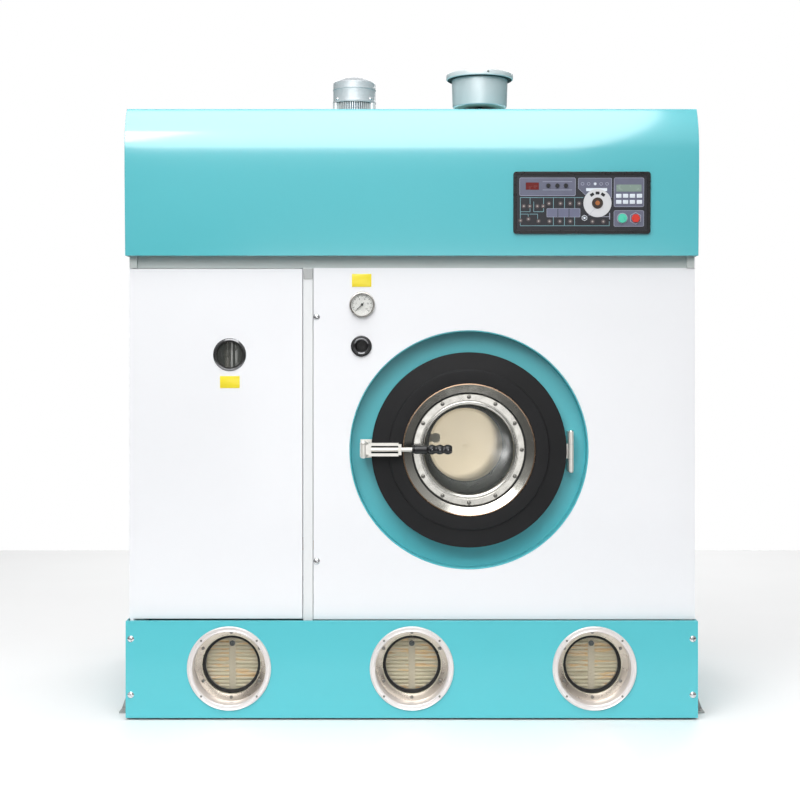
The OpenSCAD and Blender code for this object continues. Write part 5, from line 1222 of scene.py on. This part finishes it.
class MACHINE_OT_roof(bpy.types.Operator):
    """Makes the fan motor's cowl and fins, the vent canister and its riser"""
    bl_idname = "machine.roof"
    bl_label = "Roof fittings"

    def execute(self, context):
        self.cowl()
        self.motor()
        self.canister()
        return {"FINISHED"}

    def cowl(self):
        """Spun fan cowl with a raised bead and a rolled lower edge."""
        low, high = low_of("fan_cowl"), high_of("fan_cowl")
        centre = middle("fan_cowl")
        r = (high.x - low.x) / 2
        top = high.z
        lathe("fan_cowl_shell", "cowl_aluminium", "Z", centre, [
            (0, top - 5), (r - 24, top - 6), (r - 19, top - 7.5), (r - 5, top - 17), (r - 2.4, top - 20),
            (r - 1.8, top - 24), (r - 1.8, top - 38), (r - 0.5, top - 42.5), (r - 0.8, top - 43.5),
            (r - 1.8, top - 44), (r - 1.8, low.z + 1), (r - 0.4, low.z - 3), (r, low.z - 6),
            (r - 0.8, low.z - 9), (r - 4, low.z - 9), (r - 4, low.z + 6), (0, low.z + 6)], 96, ["fan_cowl"])
        screws = bmesh.new()
        for x in (-1, 1):
            a = radians(270 + 50 * x)
            slotted_head(screws, centre.x + (r - 2) * cos(a), centre.y + (r - 2) * sin(a), low.z + 2, 5, 3)
        piece("fan_cowl_screws", screws, "chrome_screw")

    def motor(self):
        """Finned motor body with its side lugs and foot flange."""
        low, high = low_of("fan_motor"), high_of("fan_motor")
        centre = middle("fan_motor")
        core_r, fin_r, fin_n = 58, 67, 56
        lug_in, lug_half = 48, 42
        fin_top = high.z - 20
        lathe("fan_motor_core", "motor_paint", "Z", centre, [
            (0, low.z), (82, low.z), (82, low.z + 8), (core_r + 4, low.z + 12), (core_r, low.z + 16),
            (core_r, high.z - 6), (0, high.z - 6)], 72)
        bm = bmesh.new()
        middle_of_motor = Matrix.Translation(centre.xy.to_3d() * MM)
        for i in range(fin_n):
            a = 2 * pi * (i + 0.5) / fin_n
            # No fins where the lugs stand
            if abs(cos(a)) < 0.76:
                slab(bm, (core_r - 1, -1.2, low.z + 14), (fin_r, 1.2, fin_top), 0, 0.5,
                     place=middle_of_motor @ Matrix.Rotation(a, 4, "Z"))
        # Smooth mounting lugs down both sides
        for side in (0, pi):
            slab(bm, (lug_in, -lug_half, low.z + 14), (fin_r + 1, lug_half, fin_top), 15, 1, "Z",
                 middle_of_motor @ Matrix.Rotation(side, 4, "Z"))
        piece("fan_motor_body", bm, "silver_paint", ["fan_motor"])

    def canister(self):
        """Spun lid over a tapered can, on studs over a navy riser."""
        low, high = low_of("canister"), high_of("canister")
        centre = middle("canister")
        rim = (high.x - low.x) / 2
        can = rim - 17
        can_z = low.z + 87
        riser_z = low.z + 76
        lid_z = high.z - 33
        top = high.z - 15
        lathe("vent_riser", "navy_paint", "Z", centre, [
            (0, low.z), (56, low.z), (56, riser_z - 3), (53, riser_z), (0, riser_z)], 72)
        # A middle stud, three studs with hexagon nuts, and a round boss under the can
        bm = bmesh.new()
        stud_circle = 32
        rod(bm, (centre.x, centre.y, riser_z - 1), (centre.x, centre.y, can_z + 1), 9, 24, 0.8)
        for i in range(3):
            a = radians(120 * i + 30)
            x, y = centre.x + stud_circle * cos(a), centre.y + stud_circle * sin(a)
            rod(bm, (x, y, riser_z - 1), (x, y, can_z + 1), 4, 16)
            rod(bm, (x, y, can_z - 5), (x, y, can_z - 1), 7, 6, 0.5)
        x, y = centre.x + 21, centre.y + 46
        rod(bm, (x, y, can_z - 4), (x, y, can_z), 16, 32, 1.2)
        piece("vent_studs", bm, "black_paint")
        lathe("vent_base_plate", "can_base", "Z", centre, [
            (0, can_z - 1), (can - 12, can_z - 1), (can - 10, can_z + 1), (0, can_z + 1)], 72)
        lathe("vent_can", "can_silver", "Z", centre, [
            (0, can_z + 0.5), (can - 10, can_z), (can - 4, can_z + 2), (can - 2.6, can_z + 6),
            (can, lid_z + 1), (0, lid_z + 1)], 96, ["canister"])
        lathe("vent_lid", "lid_silver", "Z", centre, [
            (0, lid_z), (rim - 2, lid_z), (rim - 0.4, lid_z + 1.2), (rim, lid_z + 3), (rim, top - 5),
            (rim - 0.6, top - 2), (rim - 2.4, top - 0.4), (rim - 6, top), (rim - 10, top - 1.6),
            (0, top - 1.6)], 96)
        # A black ring under the lid's rim: painted shadow where the rim shades the can
        lathe("vent_lid_shade_ring", "black_rubber", "Z", centre, [
            (can - 0.5, lid_z - 2), (rim - 5, lid_z - 2), (rim - 4, lid_z - 1), (rim - 4, lid_z + 1),
            (can - 0.5, lid_z + 1)], 96, closed=True)
        bm = bmesh.new()
        a = radians(-78)
        slotted_head(bm, centre.x + rim * cos(a), centre.y + rim * sin(a), top - 8, 3.4, 2)
        piece("vent_lid_screw", bm, "bolt_steel")


PIECES = (MACHINE_OT_finishes, MACHINE_OT_stage, MACHINE_OT_cabinet, MACHINE_OT_sight_ports,
          MACHINE_OT_loading_door, MACHINE_OT_clamp_lever, MACHINE_OT_instruments, MACHINE_OT_console,
          MACHINE_OT_roof)
LOOKS = {"cabinet_look": CabinetLook, "door_look": DoorLook, "console_look": ConsoleLook,
         "stage_look": StageLook}


class MACHINE_PT_sidebar(bpy.types.Panel):
    """Lists the machine's sizes, colours and pieces"""
    bl_label = "Machine"
    bl_idname = "MACHINE_PT_sidebar"
    bl_space_type = "VIEW_3D"
    bl_region_type = "UI"
    bl_category = "Machine"

    def draw(self, context):
        for name, look in LOOKS.items():
            for prop in look.__annotations__:
                self.layout.prop(getattr(context.scene, name), prop)
        for operator in PIECES:
            self.layout.operator(operator.bl_idname)


def register():
    for cls in (*LOOKS.values(), *PIECES, MACHINE_PT_sidebar):
        bpy.utils.register_class(cls)
    for name, look in LOOKS.items():
        setattr(bpy.types.Scene, name, PointerProperty(type=look))


def unregister():
    for name in LOOKS:
        delattr(bpy.types.Scene, name)
    for cls in reversed((*LOOKS.values(), *PIECES, MACHINE_PT_sidebar)):
        bpy.utils.unregister_class(cls)


def main():
    """Runs every operator in order."""
    register()
    for operator in PIECES:
        getattr(bpy.ops.machine, operator.bl_idname.split(".")[1])()


if __name__ == "__main__":
    main()
